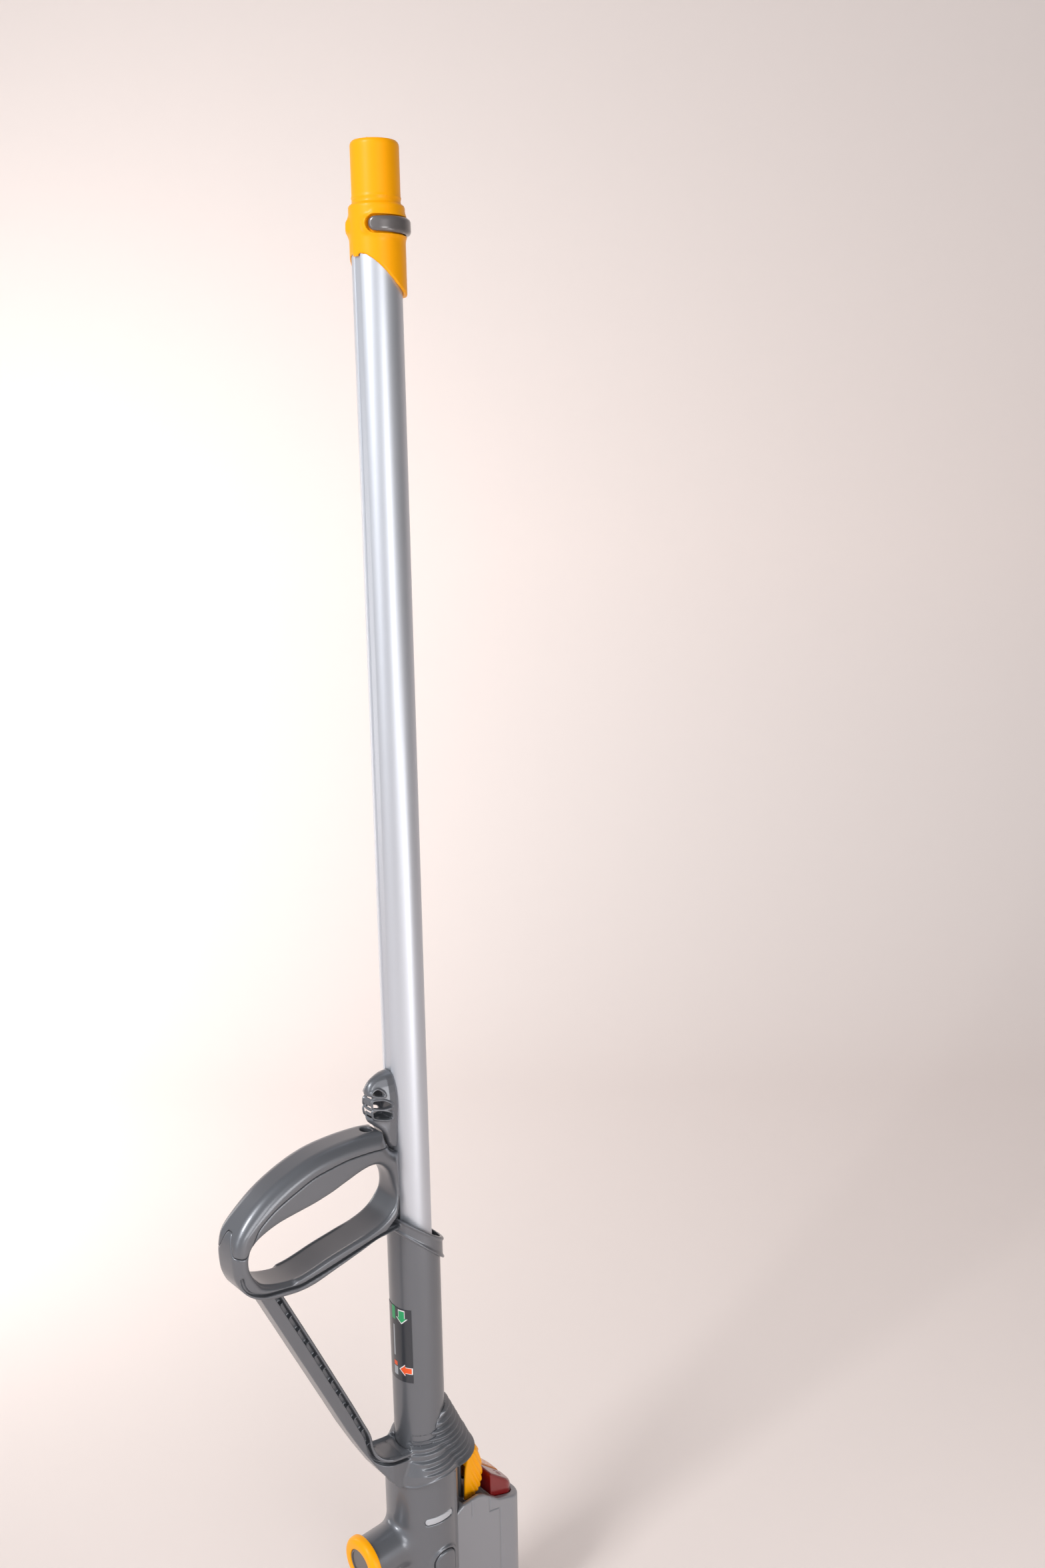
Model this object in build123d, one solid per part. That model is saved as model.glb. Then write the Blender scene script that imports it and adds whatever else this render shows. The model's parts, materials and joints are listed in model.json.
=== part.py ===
from build123d import *
import math
import os

# Telescopic cleaning wand with a loop handle, standing in its docking column.
# +Z runs up the wand, z = 0 is the underside of the base flange and x = y = 0 is the
# wand axis. The handle loop points toward -X, the buttons toward +X. Millimetres.

os.makedirs("parts", exist_ok=True)

# ---- driving dimensions ----
WAND_R = 18.0
WAND_BORE_R = 16.7
WAND_BOTTOM, WAND_TOP = 375.0, 1250.0
GROOVE_WIDTH = 7.8
GROOVE_FLOOR = 16.8         # distance of the groove floor from the wand axis
SNUG, RUN = 0.02, 0.08      # radial clearances on the wand: fixed fit, running fit
CUFF_X = 1.4                # tool cuff axis
CUFF_R = 20.3
CUFF_BARREL_TOP = 1272.4
SPIGOT_R = 17.5
SPIGOT_TOP = 1318.2
TUBE_X = 2.6                # shared axis of the outer tube and the column
TUBE_R = 22.5
TUBE_BORE_R = 21.0
TUBE_BOTTOM = 150.0
COLUMN_R = 32.4
COLUMN_WALL = 3.0
COLUMN_BORE_R = COLUMN_R - COLUMN_WALL
COLUMN_TOP = 234.0
SHOULDER_X, SHOULDER_Y = 19.5, 29.4     # square shoulders on the column's +X side
SKIRT_R = 34.6
SKIRT_BOTTOM = 226.6
BASE_THICK = 8.0
BASE_X_MIN, BASE_X_MAX = -58.0, 112.0
BASE_HALF_Y = 46.0
BOLT_PITCH_X, BOLT_PITCH_Y = 148.0, 70.0
DUCT_R = 23.4               # bore through the flange, on the wand axis
PORT_Z = 160.0              # side port axis
PORT_STUB_R = 19.5
# Slanted collar planes: height at x = 0, then rise per unit x
LIP_Z, LIP_SLOPE = 466.0, -0.76
COLLAR_Z, COLLAR_SLOPE = 449.2, -0.896
LOOP_HALF_Y = 16.2
NECK_TOP = 541.8
PIVOT_X, PIVOT_Z = -23.0, 553.6         # wand catch pin
SCREW_X = -42.0
LEVER_X, LEVER_Z = 46.5, 186.0          # release lever pin


# ---- helpers ----
def rod(radius, z_low, z_high, x=0.0, y=0.0):
    base = (Align.CENTER, Align.CENTER, Align.MIN)
    return Pos(x, y, z_low) * Cylinder(radius, z_high - z_low, align=base)


def rod_x(radius, x_low, x_high, y, z):
    return Pos((x_low + x_high) / 2, y, z) * Rot(0, 90, 0) * Cylinder(radius, x_high - x_low)


def rod_y(radius, x, z, y_high, y_low=None):
    """Cylinder along Y, symmetric about y = 0 unless y_low is given."""
    y_low = -y_high if y_low is None else y_low
    return Pos(x, (y_low + y_high) / 2, z) * Rot(90, 0, 0) * Cylinder(radius, y_high - y_low)


def tube(outer_r, inner_r, z_low, z_high, x=0.0):
    return rod(outer_r, z_low, z_high, x) - rod(inner_r, z_low - 1, z_high + 1, x)


def cone(low_r, high_r, z_low, z_high, x):
    base = (Align.CENTER, Align.CENTER, Align.MIN)
    return Pos(x, 0, z_low) * Cone(low_r, high_r, z_high - z_low, align=base)


def box(x_min, x_max, y_a, y_b, z_min, z_max):
    """Box between two corners; the y values may come in either order."""
    centre = Pos((x_min + x_max) / 2, (y_a + y_b) / 2, (z_min + z_max) / 2)
    return centre * Box(x_max - x_min, abs(y_b - y_a), z_max - z_min)


def bar(x_min, x_max, half_y, z_min, z_max):
    return box(x_min, x_max, -half_y, half_y, z_min, z_max)


def extrude_y(outline, y_high, y_low=None):
    """Extrude an x, z outline along Y, symmetric about y = 0 unless y_low is given."""
    y_low = -y_high if y_low is None else y_low
    return Pos(0, y_high, 0) * Rot(90, 0, 0) * extrude(make_face(outline), y_high - y_low)


def prism_xz(points, y_high, y_low=None):
    return extrude_y(Polyline(*points, close=True), y_high, y_low)


def prism_xy(points, z_low, z_high):
    return Pos(0, 0, z_low) * extrude(make_face(Polyline(*points, close=True)), z_high - z_low)


def both_sides(points):
    """Close an x, y half outline with its mirror image in y."""
    return points + [(x, -y) for x, y in reversed(points)]


def polar(radius, degrees, x):
    angle = math.radians(degrees)
    return (x + radius * math.cos(angle), radius * math.sin(angle))


def below(height, slope):
    """Everything under the plane z = height + slope * x."""
    reach = 200
    return prism_xz([(-reach, height - reach * slope), (reach, height + reach * slope),
                     (reach, -900), (-reach, -900)], 100)


def under_lip(drop=0.0):
    return below(LIP_Z - drop, LIP_SLOPE)


def coil(radius, wire_r, pitch, height):
    path = Helix(pitch, height, radius)
    return sweep(Plane(path @ 0, z_dir=path % 0) * Circle(wire_r), path, is_frenet=True)


def largest(shape):
    return sorted(shape.solids(), key=lambda solid: solid.volume)[-1]


def soften(shape, edges, sizes):
    """Fillet with the first size that works, or leave the shape as it is."""
    for size in sizes:
        # the kernel can refuse a radius on these edges, so the next one is tried
        try:
            done = fillet(edges, size)
            if done.is_valid:
                return done
        except Exception:
            continue
    return shape


def save(name, shape):
    solids = shape.solids()
    whole = solids[0] if len(solids) == 1 else Compound(children=list(solids))
    export_step(whole, "parts/" + name + ".step")


# ---- wand ----
def wand_tube():
    """Drawn tube with a guide groove down the handle side."""
    wand = tube(WAND_R, WAND_BORE_R, WAND_BOTTOM, WAND_TOP)
    wand += rod(WAND_BORE_R + 0.2, WAND_BOTTOM, WAND_TOP) & bar(
        -18, -15.5, 5.4, WAND_BOTTOM, WAND_TOP)
    return wand - bar(-19, -GROOVE_FLOOR, GROOVE_WIDTH / 2, WAND_BOTTOM - 1, WAND_TOP + 1)


def wand_foot_ring():
    """Ring on the wand's lower end, open on -X, with two grooves round it."""
    foot = rod(TUBE_BORE_R - 0.4, WAND_BOTTOM, WAND_BOTTOM + 24.0, TUBE_X)
    foot -= rod(WAND_R + SNUG, WAND_BOTTOM - 1, WAND_BOTTOM + 26)
    foot -= bar(-30, -12, 30, WAND_BOTTOM - 1, WAND_BOTTOM + 26)
    for rise in (6.0, 16.0):
        z = WAND_BOTTOM + rise
        foot -= tube(TUBE_BORE_R + 2, TUBE_BORE_R - 1.2, z, z + 3.0, TUBE_X)
    return foot


save("wand_tube", wand_tube())
save("wand_foot_ring", wand_foot_ring())


# ---- tool cuff and its release button ----
def rear_wedge(x, degrees):
    """Kite on the -X side, its two sides at +-degrees from +X."""
    return prism_xy([(x, 0), polar(80, degrees, x), (x - 80, 0), polar(80, -degrees, x)],
                    1250, 1270)


def tool_cuff():
    """Spigot, flare and a barrel cut on a slant."""
    cuff = rod(SPIGOT_R, 1270, SPIGOT_TOP, CUFF_X)
    cuff = soften(cuff, cuff.edges().group_by(Axis.Z)[-1], (4.0, 3.0, 2.0))
    cuff += tube(SPIGOT_R + 0.3, 10, 1278.6, 1281.0, CUFF_X)
    cuff += cone(CUFF_R, SPIGOT_R, CUFF_BARREL_TOP, CUFF_BARREL_TOP + 3.6, CUFF_X)
    cuff += rod(CUFF_R, 1180, CUFF_BARREL_TOP, CUFF_X) - below(1228.7, -0.72)
    # raised pads either side of the handle side
    pad = tube(22.0, 19.0, 1251.6, 1268.2, CUFF_X) & prism_xy(
        [(CUFF_X, 0), polar(60, 138, CUFF_X), (CUFF_X - 70, 70), polar(60, 157, CUFF_X)],
        1250, 1270)
    pad += mirror(pad, Plane.XZ)
    cuff += pad
    # through bore, narrower at the tip, then the wand socket
    cuff -= rod(15.2, 1240, 1309.0, CUFF_X) + rod(13.2, 1300, SPIGOT_TOP + 1, CUFF_X)
    cuff -= rod(WAND_R + SNUG, 1150, WAND_TOP + SNUG)
    # seat for the release button
    cuff -= tube(26.0, 17.7, 1254.2, 1266.6, CUFF_X) & (
        rod(30, 1253, 1268, CUFF_X) - rear_wedge(CUFF_X + 1, 137))
    # key in the wand groove
    cuff += bar(-19.2, -GROOVE_FLOOR - 0.15, 3.5, 1238.5, 1249.9)
    return cuff


def tool_release_button():
    """Open ring round the cuff, thicker toward +X, with two inner pads."""
    ring = rod(22.7, 1254.6, 1266.2, CUFF_X + 2.2) - rod(20.45, 1254, 1267, CUFF_X)
    ring -= rear_wedge(CUFF_X, 131)
    rims = ring.edges().filter_by(GeomType.CIRCLE).filter_by(lambda edge: edge.radius > 22)
    ring = soften(ring, rims, (1.6, 1.0, 0.6))
    pads = [box(CUFF_X + 19.2, CUFF_X + 20.9, y, y + 3, 1257.5, 1263.5) for y in (-7, 4)]
    ring += pads[0] + pads[1]
    return ring


save("tool_cuff", tool_cuff())
save("tool_release_button", tool_release_button())
save("tool_release_spring",
     Pos(CUFF_X + 17.95, 0, 1260.6) * Rot(0, 90, 0) * coil(2.0, 0.25, 0.9, 2.0))

# ---- handle: outlines as x, z points ----
# Outside of the loop, from the neck top round the far end to the neck bottom
LOOP_OUTER = [
    (-32.3, 565.6), (-45.4, 568.1), (-66.7, 569.8), (-90.0, 569.6), (-108.3, 566.6),
    (-127.0, 560.6), (-142.7, 553.2), (-155.0, 545.2), (-165.5, 536.0), (-172.6, 526.6),
    (-175.6, 516.5), (-176.2, 505.0), (-174.5, 492.0), (-168.5, 480.0), (-159.0, 472.0),
    (-148.0, 467.6), (-136.0, 464.6), (-122.0, 462.4), (-108.0, 462.6), (-90.0, 466.0),
    (-65.0, 471.0), (-47.0, 475.0), (-37.0, 475.6), (-26.0, 475.8)]
# Straight-sided return of the outline along the wand, upward
LOOP_RETURN = [
    (-14.0, 470.0), (-14.0, NECK_TOP), (-19.8, 542.2), (-22.8, 544.2), (-26.0, 547.6),
    (-28.6, 553.0), (-30.9, 560.2)]
LOOP_HOLE = [
    (-23.5, 502.0), (-23.7, 514.0), (-27.5, 526.5), (-35.0, 535.5), (-45.0, 539.6),
    (-58.0, 539.8), (-75.0, 537.2), (-88.0, 534.2), (-104.0, 531.5), (-120.0, 530.0),
    (-136.0, 528.2), (-148.0, 525.0), (-157.5, 520.6), (-163.2, 513.8), (-165.0, 505.5),
    (-163.6, 497.0), (-159.0, 488.6), (-153.0, 482.0), (-142.0, 477.0), (-126.5, 473.6),
    (-112.0, 474.2), (-91.0, 478.0), (-66.0, 481.4), (-43.0, 486.0), (-30.5, 492.4)]
# Lower edge of the channels in the lower strap
CHANNEL = [
    (-150.0, 471.6), (-137.0, 468.0), (-122.0, 465.6), (-108.0, 466.0), (-90.0, 469.6),
    (-65.0, 474.4), (-47.0, 478.4), (-37.0, 479.6), (-27.0, 480.0)]
CHANNEL_HEIGHT = 3.6
# Split between the frame and the grip cover, from the wand outward
SEAM = [
    (-10.0, 541.0), (-16.2, 544.3), (-20.0, 547.2), (-24.0, 549.9), (-29.6, 551.8),
    (-40.3, 554.3), (-54.0, 556.0), (-71.0, 557.0), (-87.0, 556.0), (-103.5, 554.0),
    (-119.0, 549.0), (-135.0, 543.0), (-146.0, 537.0), (-156.0, 531.5), (-161.5, 525.0),
    (-166.0, 517.0), (-171.0, 514.0), (-178.5, 516.0)]
# Lower corner of the wand catch, with room around it
HEEL = [
    (-42.0, 592.0), (-40.0, 586.0), (-39.4, 574.4), (-37.1, 570.2), (-31.1, 564.3),
    (-27.9, 558.4), (-26.4, 552.4), (-24.0, 552.4), (-24.0, 592.0)]
KEY_X, KEY_HALF_Y, KEY_BOTTOM, KEY_TOP = -21.0, 3.6, 490, 530   # groove key pocket
KEY_GAP = 0.05


def handle_loop():
    outline = Spline(*LOOP_OUTER) + Polyline(LOOP_OUTER[-1], *LOOP_RETURN, LOOP_OUTER[0])
    loop = extrude_y(outline, LOOP_HALF_Y)
    # narrow the loop where it meets the wand
    loop = loop & prism_xy(both_sides([(-220, -LOOP_HALF_Y), (-24.0, -LOOP_HALF_Y),
                                       (-15.8, -8.6), (-10, -8.6)]), 440, 600)
    loop = soften(loop, [edge for edge in loop.edges() if edge.center().X < -40
                         and abs(abs(edge.center().Y) - LOOP_HALF_Y) < 0.1
                         and edge.center().Z > 500], (6.0, 4.5, 3.0))
    loop -= extrude_y(Spline(*LOOP_HOLE, periodic=True), 20)
    # channels in the lower strap, one each side of a centre web
    channel = CHANNEL + [(x, z + CHANNEL_HEIGHT) for x, z in reversed(CHANNEL)]
    loop -= prism_xz(channel, -1.6, -30) + prism_xz(channel, 30, 1.6)
    return loop


def handle_collar():
    """Slanted band round the outer tube, with a lip at each end."""
    bore_r = TUBE_R - 3
    band = tube(25.0, bore_r, 400, 520, TUBE_X) & under_lip()
    band -= below(COLLAR_Z, COLLAR_SLOPE)
    lip = tube(26.0, bore_r, 400, 520, TUBE_X)
    band += (lip & under_lip()) - under_lip(2.4)
    band += (lip & below(COLLAR_Z + 2.4, COLLAR_SLOPE)) - below(COLLAR_Z, COLLAR_SLOPE)
    return band


def handle_body():
    """Loop, neck and collar in one, before the grip cover is split off."""
    neck = both_sides([(-23.5, -16.0), (-15.8, -8.6), (-14.0, -8.6)])
    body = handle_loop() + prism_xy(neck, 468.0, NECK_TOP)
    body += handle_collar()
    body -= rod(WAND_R + RUN, 380, 640)
    body -= rod(TUBE_R + 0.05, 380, 640, TUBE_X) & under_lip(3.9)
    body -= rod(TUBE_BORE_R - 0.6, 380, 640, TUBE_X + 1.2) & bar(-5, 40, 30, 380, 600)
    return body - bar(KEY_X, -16.0, KEY_HALF_Y, KEY_BOTTOM, KEY_TOP)


def handle_parts():
    """Split the body along the seam into the frame and the grip cover."""
    body = handle_body()
    upper = prism_xz(SEAM + [(-230.0, 516.0), (-230.0, 640.0), (-10.0, 640.0)], 30)
    cover = largest(body & upper)
    frame = largest(body - upper)
    # tongue that carries the catch pin
    tongue = bar(-26.4, -18.5, 3.0, 540.0, 554.0) + (
        rod_y(3.4, PIVOT_X, PIVOT_Z, 3.0) & bar(-40, -18.5, 4, 540, 560))
    frame = (frame + tongue) - rod_y(1.62, PIVOT_X, PIVOT_Z, 20)
    cover = cover - tongue
    # room for the catch's lower corner over its whole travel
    heel = prism_xz(HEEL, 10.8)
    for turn in (0.0, 1.8, 3.6):
        swing = Pos(PIVOT_X, 0, PIVOT_Z) * Rot(0, -turn, 0) * Pos(-PIVOT_X, 0, -PIVOT_Z)
        cover = cover - swing * heel
    # screw head recess and shank holes
    cover = largest(cover) - rod(5.0, 558.8, 600.0, SCREW_X) - rod(2.1, 540.0, 580.0, SCREW_X)
    return frame - rod(2.0, 541.5, 560.0, SCREW_X), cover


def grip_screw():
    screw = rod(1.95, 542.0, 559.5, SCREW_X) + rod(4.2, 558.82, 561.6, SCREW_X)
    slot_reach, slot_half = 3.2, 0.6
    screw -= (bar(SCREW_X - slot_reach, SCREW_X + slot_reach, slot_half, 560.6, 563)
              + bar(SCREW_X - slot_half, SCREW_X + slot_half, slot_reach, 560.6, 563))
    return screw


frame, cover = handle_parts()
save("handle_frame", frame)
save("grip_cover", cover)
save("grip_screw", grip_screw())
save("groove_key", bar(KEY_X, -GROOVE_FLOOR - 0.1, KEY_HALF_Y - KEY_GAP,
                       KEY_BOTTOM + KEY_GAP, KEY_TOP - KEY_GAP))

# ---- wand catch: hollow cage on a pin ----
CATCH_SIDE = [     # x, z
    (-16.0, 612.2), (-18.8, 612.3), (-24.5, 612.0), (-31.0, 610.6), (-36.6, 608.0),
    (-39.8, 604.0), (-40.8, 598.3), (-39.4, 589.5), (-39.0, 582.0), (-38.9, 574.6),
    (-36.8, 570.6), (-30.8, 564.6), (-27.6, 558.6), (-26.0, 552.4), (-24.0, 548.4),
    (-21.0, 545.0), (-18.4, 543.8), (-16.0, 543.6)]
CATCH_HALF_FACE = [     # y, z of the +Y half seen along X
    (4.0, 612.6), (6.6, 608.0), (8.4, 602.6), (9.6, 596.6), (10.3, 589.0), (10.4, 582.0),
    (9.8, 575.0), (9.2, 566.0), (9.1, 552.0), (8.4, 547.6), (6.6, 545.0), (3.6, 543.4)]
CATCH_WINDOWS = [     # x, z, one outline per row
    [(-36.5, 601.0), (-29.5, 599.6), (-28.6, 596.0), (-33.0, 595.4), (-37.5, 598.0)],
    [(-37.6, 593.0), (-28.5, 591.2), (-22.2, 586.6), (-22.4, 584.4), (-27.0, 583.8),
     (-37.4, 587.0)],
    [(-37.6, 584.6), (-28.0, 582.4), (-22.4, 578.0), (-22.2, 574.0), (-27.5, 574.4),
     (-37.0, 578.4)]]


def wand_catch():
    face = CATCH_HALF_FACE + [(-y, z) for y, z in reversed(CATCH_HALF_FACE)]
    shield = extrude(Plane.YZ.offset(-60) * make_face(Polyline(*face, close=True)), 60)
    catch = prism_xz(CATCH_SIDE, 10.4)
    # taper both flanks toward -X
    flank = [(-50, 7.0), (-36.5, 7.0), (-24.0, 10.5), (-24.0, 20), (-50, 20)]
    for side in (-1, 1):
        catch -= prism_xy([(x, side * y) for x, y in flank], 540, 620)
    catch = catch & shield
    catch -= rod(WAND_R + 0.12, 540, 620)
    catch -= rod(WAND_R + 1.3, 540, 558)
    for window in CATCH_WINDOWS:
        catch -= prism_xz(window, 20)
    # tooth in the wand groove
    catch += bar(-19.0, -GROOVE_FLOOR - 0.25, 3.4, 586.0, 594.0)
    # pin hole, slot for the frame's tongue, spring pocket
    catch -= rod_y(1.65, PIVOT_X, PIVOT_Z, 20)
    catch -= bar(-40, -10, 3.3, 540, 558.6)
    catch -= rod_y(3.3, PIVOT_X, PIVOT_Z, 7.6, 3.0)
    return largest(catch)


save("wand_catch", wand_catch())
save("catch_spring", Pos(PIVOT_X, 7.1, PIVOT_Z) * Rot(90, 0, 0) * coil(2.3, 0.3, 0.8, 3.2))
save("catch_pin", rod_y(1.6, PIVOT_X, PIVOT_Z, 8.8))


# ---- outer tube, its label, guide bush and end seal ----
def tube_label():
    patch = prism_xy([(TUBE_X, 0), polar(60, -137, TUBE_X), (TUBE_X - 80, -60),
                      (TUBE_X - 80, 60), polar(60, 150, TUBE_X)], 300, 420)
    return tube(TUBE_R + 0.35, TUBE_R + 0.02, 323, 394, TUBE_X) & patch


def guide_bush():
    bush = rod(TUBE_BORE_R - 0.05, 400.0, 520, TUBE_X) & under_lip(6.0)
    bush = bush - rod(WAND_R + RUN, 380, 560)
    bush -= bar(-30, -12.5, 30, 380, 560)
    return largest(bush)


save("outer_tube", tube(TUBE_R, TUBE_BORE_R, TUBE_BOTTOM, 520, TUBE_X) & under_lip(4.0))
save("tube_label", tube_label())
save("guide_bush", guide_bush())
save("socket_seal", tube(23.68, TUBE_R + 0.06, 156.0, 161.0, TUBE_X))

# ---- lower cuff ----
SADDLE_SIDE = [     # x, z
    (-63.8, 276.0), (-53.0, 276.0), (-50.0, 270.0), (-45.0, 265.6), (-36.0, 263.4),
    (-24.0, 263.6), (-10.0, 264.0), (-10.0, 232.0), (-34.0, 232.0), (-44.0, 244.0),
    (-55.7, 262.1)]
SADDLE_HALF_PLAN = [     # x, y of the -Y half
    (-66.0, -9.0), (-56.0, -9.5), (-46.0, -14.0), (-36.0, -18.5), (-26.0, -22.5),
    (0.0, -26.0)]


def lean(low_x, low_r, high_x, high_r, z_low=222.0, z_high=292.0):
    """Leaning cone between two level circles."""
    return loft([Pos(low_x, 0, z_low) * Circle(low_r), Pos(high_x, 0, z_high) * Circle(high_r)])


def lower_cuff():
    """Ribbed apron on +X, saddle for the brace on -X, skirt over the column."""
    top_cut = below(274.2, 1.05)
    cuff = lean(26.0, 32.0, TUBE_X, TUBE_R + 0.1) & top_cut
    cuff = (cuff + rod(SKIRT_R, SKIRT_BOTTOM, 237.0, TUBE_X)
            + cone(SKIRT_R, TUBE_R + 0.6, 237.0, 266.0, TUBE_X))
    saddle = prism_xz(SADDLE_SIDE, 26.0)
    saddle &= prism_xy(both_sides(SADDLE_HALF_PLAN), 220.0, 280.0)
    cuff += saddle
    # ribs: level slices of a slightly larger apron
    swell = lean(26.0, 33.1, TUBE_X, TUBE_R + 1.2) & top_cut
    for i in range(9):
        cuff += swell & bar(-4, 80, 60, 231.0 + 7.0 * i, 233.4 + 7.0 * i)
    # trim level, then clear the column, its shoulders and the tube
    cuff -= bar(-100, 100, 100, 200.0, SKIRT_BOTTOM)
    cuff -= rod(COLUMN_R + 0.25, 200, 235.4, TUBE_X)
    cuff -= bar(TUBE_X, SHOULDER_X + 0.3, SHOULDER_Y + 0.3, 200, 230.0)
    cuff -= rod(TUBE_R + 0.04, 180, 340, TUBE_X)
    # leaning hollow inside the apron
    cuff -= lean(33.4, 32.4, 12.6, 23.9, 200.0, 262.0)
    return largest(cuff)


# ---- brace from the loop's far corner down to the lower cuff ----
# Long edges as top and foot points x, z, in order from far to near the tube
BRACE_FAR = ((-154.0, 468.0), (-64.0, 276.0))
CHANNEL_FAR = ((-140.5, 464.6), (-52.0, 276.0))
CHANNEL_NEAR = ((-136.5, 463.6), (-48.2, 276.0))
BRACE_NEAR = ((-134.2, 463.4), (-46.0, 276.0))
BRACE_BAYS = 11


def strip(far, near, half_y):
    return prism_xz([far[0], near[0], near[1], far[1]], half_y)


def along(edge, fraction):
    (top_x, top_z), (foot_x, foot_z) = edge
    return top_x + (foot_x - top_x) * fraction, top_z + (foot_z - top_z) * fraction


def brace_strut(cuff):
    """Two rails joined by a thin web with cross ribs, trimmed to the loop and cuff."""
    brace = strip(BRACE_FAR, CHANNEL_FAR, 9) + strip(CHANNEL_NEAR, BRACE_NEAR, 9)
    brace += strip(CHANNEL_FAR, CHANNEL_NEAR, 1.2)
    for i in range(1, BRACE_BAYS):
        far_x, far_z = along(CHANNEL_FAR, i / BRACE_BAYS)
        near_x, near_z = along(CHANNEL_NEAR, i / BRACE_BAYS)
        brace += prism_xz([(far_x - 0.2, far_z), (near_x + 0.2, near_z),
                           (near_x + 0.2, near_z + 1.2), (far_x - 0.2, far_z + 1.2)], 7.6)
    brace -= prism_xz(LOOP_OUTER[12:] + [(-26, 560), (-174, 560)], 30)
    return largest(largest(brace) - cuff)


cuff = lower_cuff()
save("brace_strut", brace_strut(cuff))
save("lower_cuff", cuff)


# ---- docking column ----
def pill_prism(radius):
    """Upright pill shape through the column wall, near -Y."""
    return Pos(TUBE_X, 0, 0) * Rot(0, 0, -92) * Pos(30, 0, 0) * (
        bar(-12, 10, radius, 108.0, 143.5) + rod_x(radius, -12, 10, 0, 143.5)
        + rod_x(radius, -12, 10, 0, 108.0))


def window_prism(radius):
    """Level slot through the column wall, near -Y."""
    half = 11.2
    return Pos(TUBE_X, 0, 188.0) * Rot(0, 0, -98) * (
        bar(20, 40, half, -radius, radius) + rod_x(radius, 20, 40, half, 0)
        + rod_x(radius, 20, 40, -half, 0))


def port_rod(radius, x_low, x_high):
    return rod_x(radius, x_low, x_high, 0, PORT_Z)


def dock_column():
    column = (rod(COLUMN_R, BASE_THICK, COLUMN_TOP, TUBE_X)
              + bar(TUBE_X, SHOULDER_X, SHOULDER_Y, BASE_THICK, 224.0))
    # side port stub with a flared root, then the button bezel
    stub = port_rod(PORT_STUB_R, -64.4, TUBE_X)
    stub = stub + Pos(-28.5, 0, PORT_Z) * Rot(0, -90, 0) * Cone(24.0, PORT_STUB_R, 8.0)
    column = column + stub
    column = column + (rod(COLUMN_R + 2.4, 90.0, 160.0, TUBE_X) & pill_prism(14.5))
    # hollow out
    column -= rod(COLUMN_BORE_R, 0, 300, TUBE_X)
    column -= bar(TUBE_X, SHOULDER_X - COLUMN_WALL, SHOULDER_Y - COLUMN_WALL, 0, 221)
    column -= port_rod(16.5, -90.0, TUBE_X - 20)
    column -= pill_prism(11.0)
    column -= window_prism(3.4)
    return largest(column)


def tube_socket():
    """Sleeve that holds the outer tube, stepped at both ends and flanged near the top."""
    socket_r, top = 26.0, 233.0
    socket = (tube(socket_r, 23.7, 140.0, top, TUBE_X)
              + tube(socket_r, 21.4, 140.0, TUBE_BOTTOM - 0.2, TUBE_X)
              + tube(socket_r, TUBE_R + 0.1, 219.0, top, TUBE_X))
    socket += tube(COLUMN_BORE_R - 0.05, 25.0, 226.0, 230.0, TUBE_X)
    return socket


def base_flange():
    base = bar(BASE_X_MIN, BASE_X_MAX, BASE_HALF_Y, 0, BASE_THICK)
    base = fillet(base.edges().filter_by(Axis.Z), 12)
    base = chamfer(base.faces().sort_by(Axis.Z)[-1].edges(), 1.2)
    base -= rod(DUCT_R, -1, 10)
    centre_x = (BASE_X_MIN + BASE_X_MAX) / 2
    for x_side in (-1, 1):
        for y_side in (-1, 1):
            base -= rod(2.75, -1, 10, centre_x + x_side * BOLT_PITCH_X / 2,
                        y_side * BOLT_PITCH_Y / 2)
    return base


save("dock_column", dock_column())
save("indicator_window", tube(COLUMN_R - 0.5, COLUMN_BORE_R + 0.6, 178, 198, TUBE_X)
     & window_prism(3.35))
save("hose_latch_button", tube(COLUMN_R + 3.2, COLUMN_BORE_R + 0.5, 84.0, 164.0, TUBE_X)
     & pill_prism(10.7))
save("hose_latch_spring", Pos(TUBE_X, 0, 125.75) * Rot(0, 0, -92) * Pos(26.5, 0, 0)
     * Rot(0, 90, 0) * coil(4.0, 0.35, 1.0, 2.7))
save("tube_socket", tube_socket())
save("duct_liner", tube(26.05, 21.6, BASE_THICK + 0.05, 139.9, TUBE_X))
save("base_flange", base_flange())


# ---- side port: collar, blanking cap and seal ----
def port_collar():
    collar = port_rod(23.2, -68.4, -60.0)
    rim = [edge for edge in collar.edges().filter_by(GeomType.CIRCLE) if edge.center().X < -68]
    collar = soften(collar, rim, (5.0, 4.0, 3.0))
    collar -= port_rod(PORT_STUB_R + 0.08, -66.0, -50) + port_rod(13.7, -80, -50)
    return collar


def port_cap():
    cap = (port_rod(19.3, -65.9, -64.45) + port_rod(16.3, -64.5, -56.0)
           + port_rod(13.3, -67.4, -65.8))
    cap -= port_rod(14.0, -63.4, -55) + port_rod(12.0, -68.0, -66.6)
    return cap


save("port_collar", port_collar())
save("port_cap", port_cap())
save("port_seal", port_rod(16.48, -55.0, -52.5) - port_rod(13.5, -56, -51))

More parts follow.
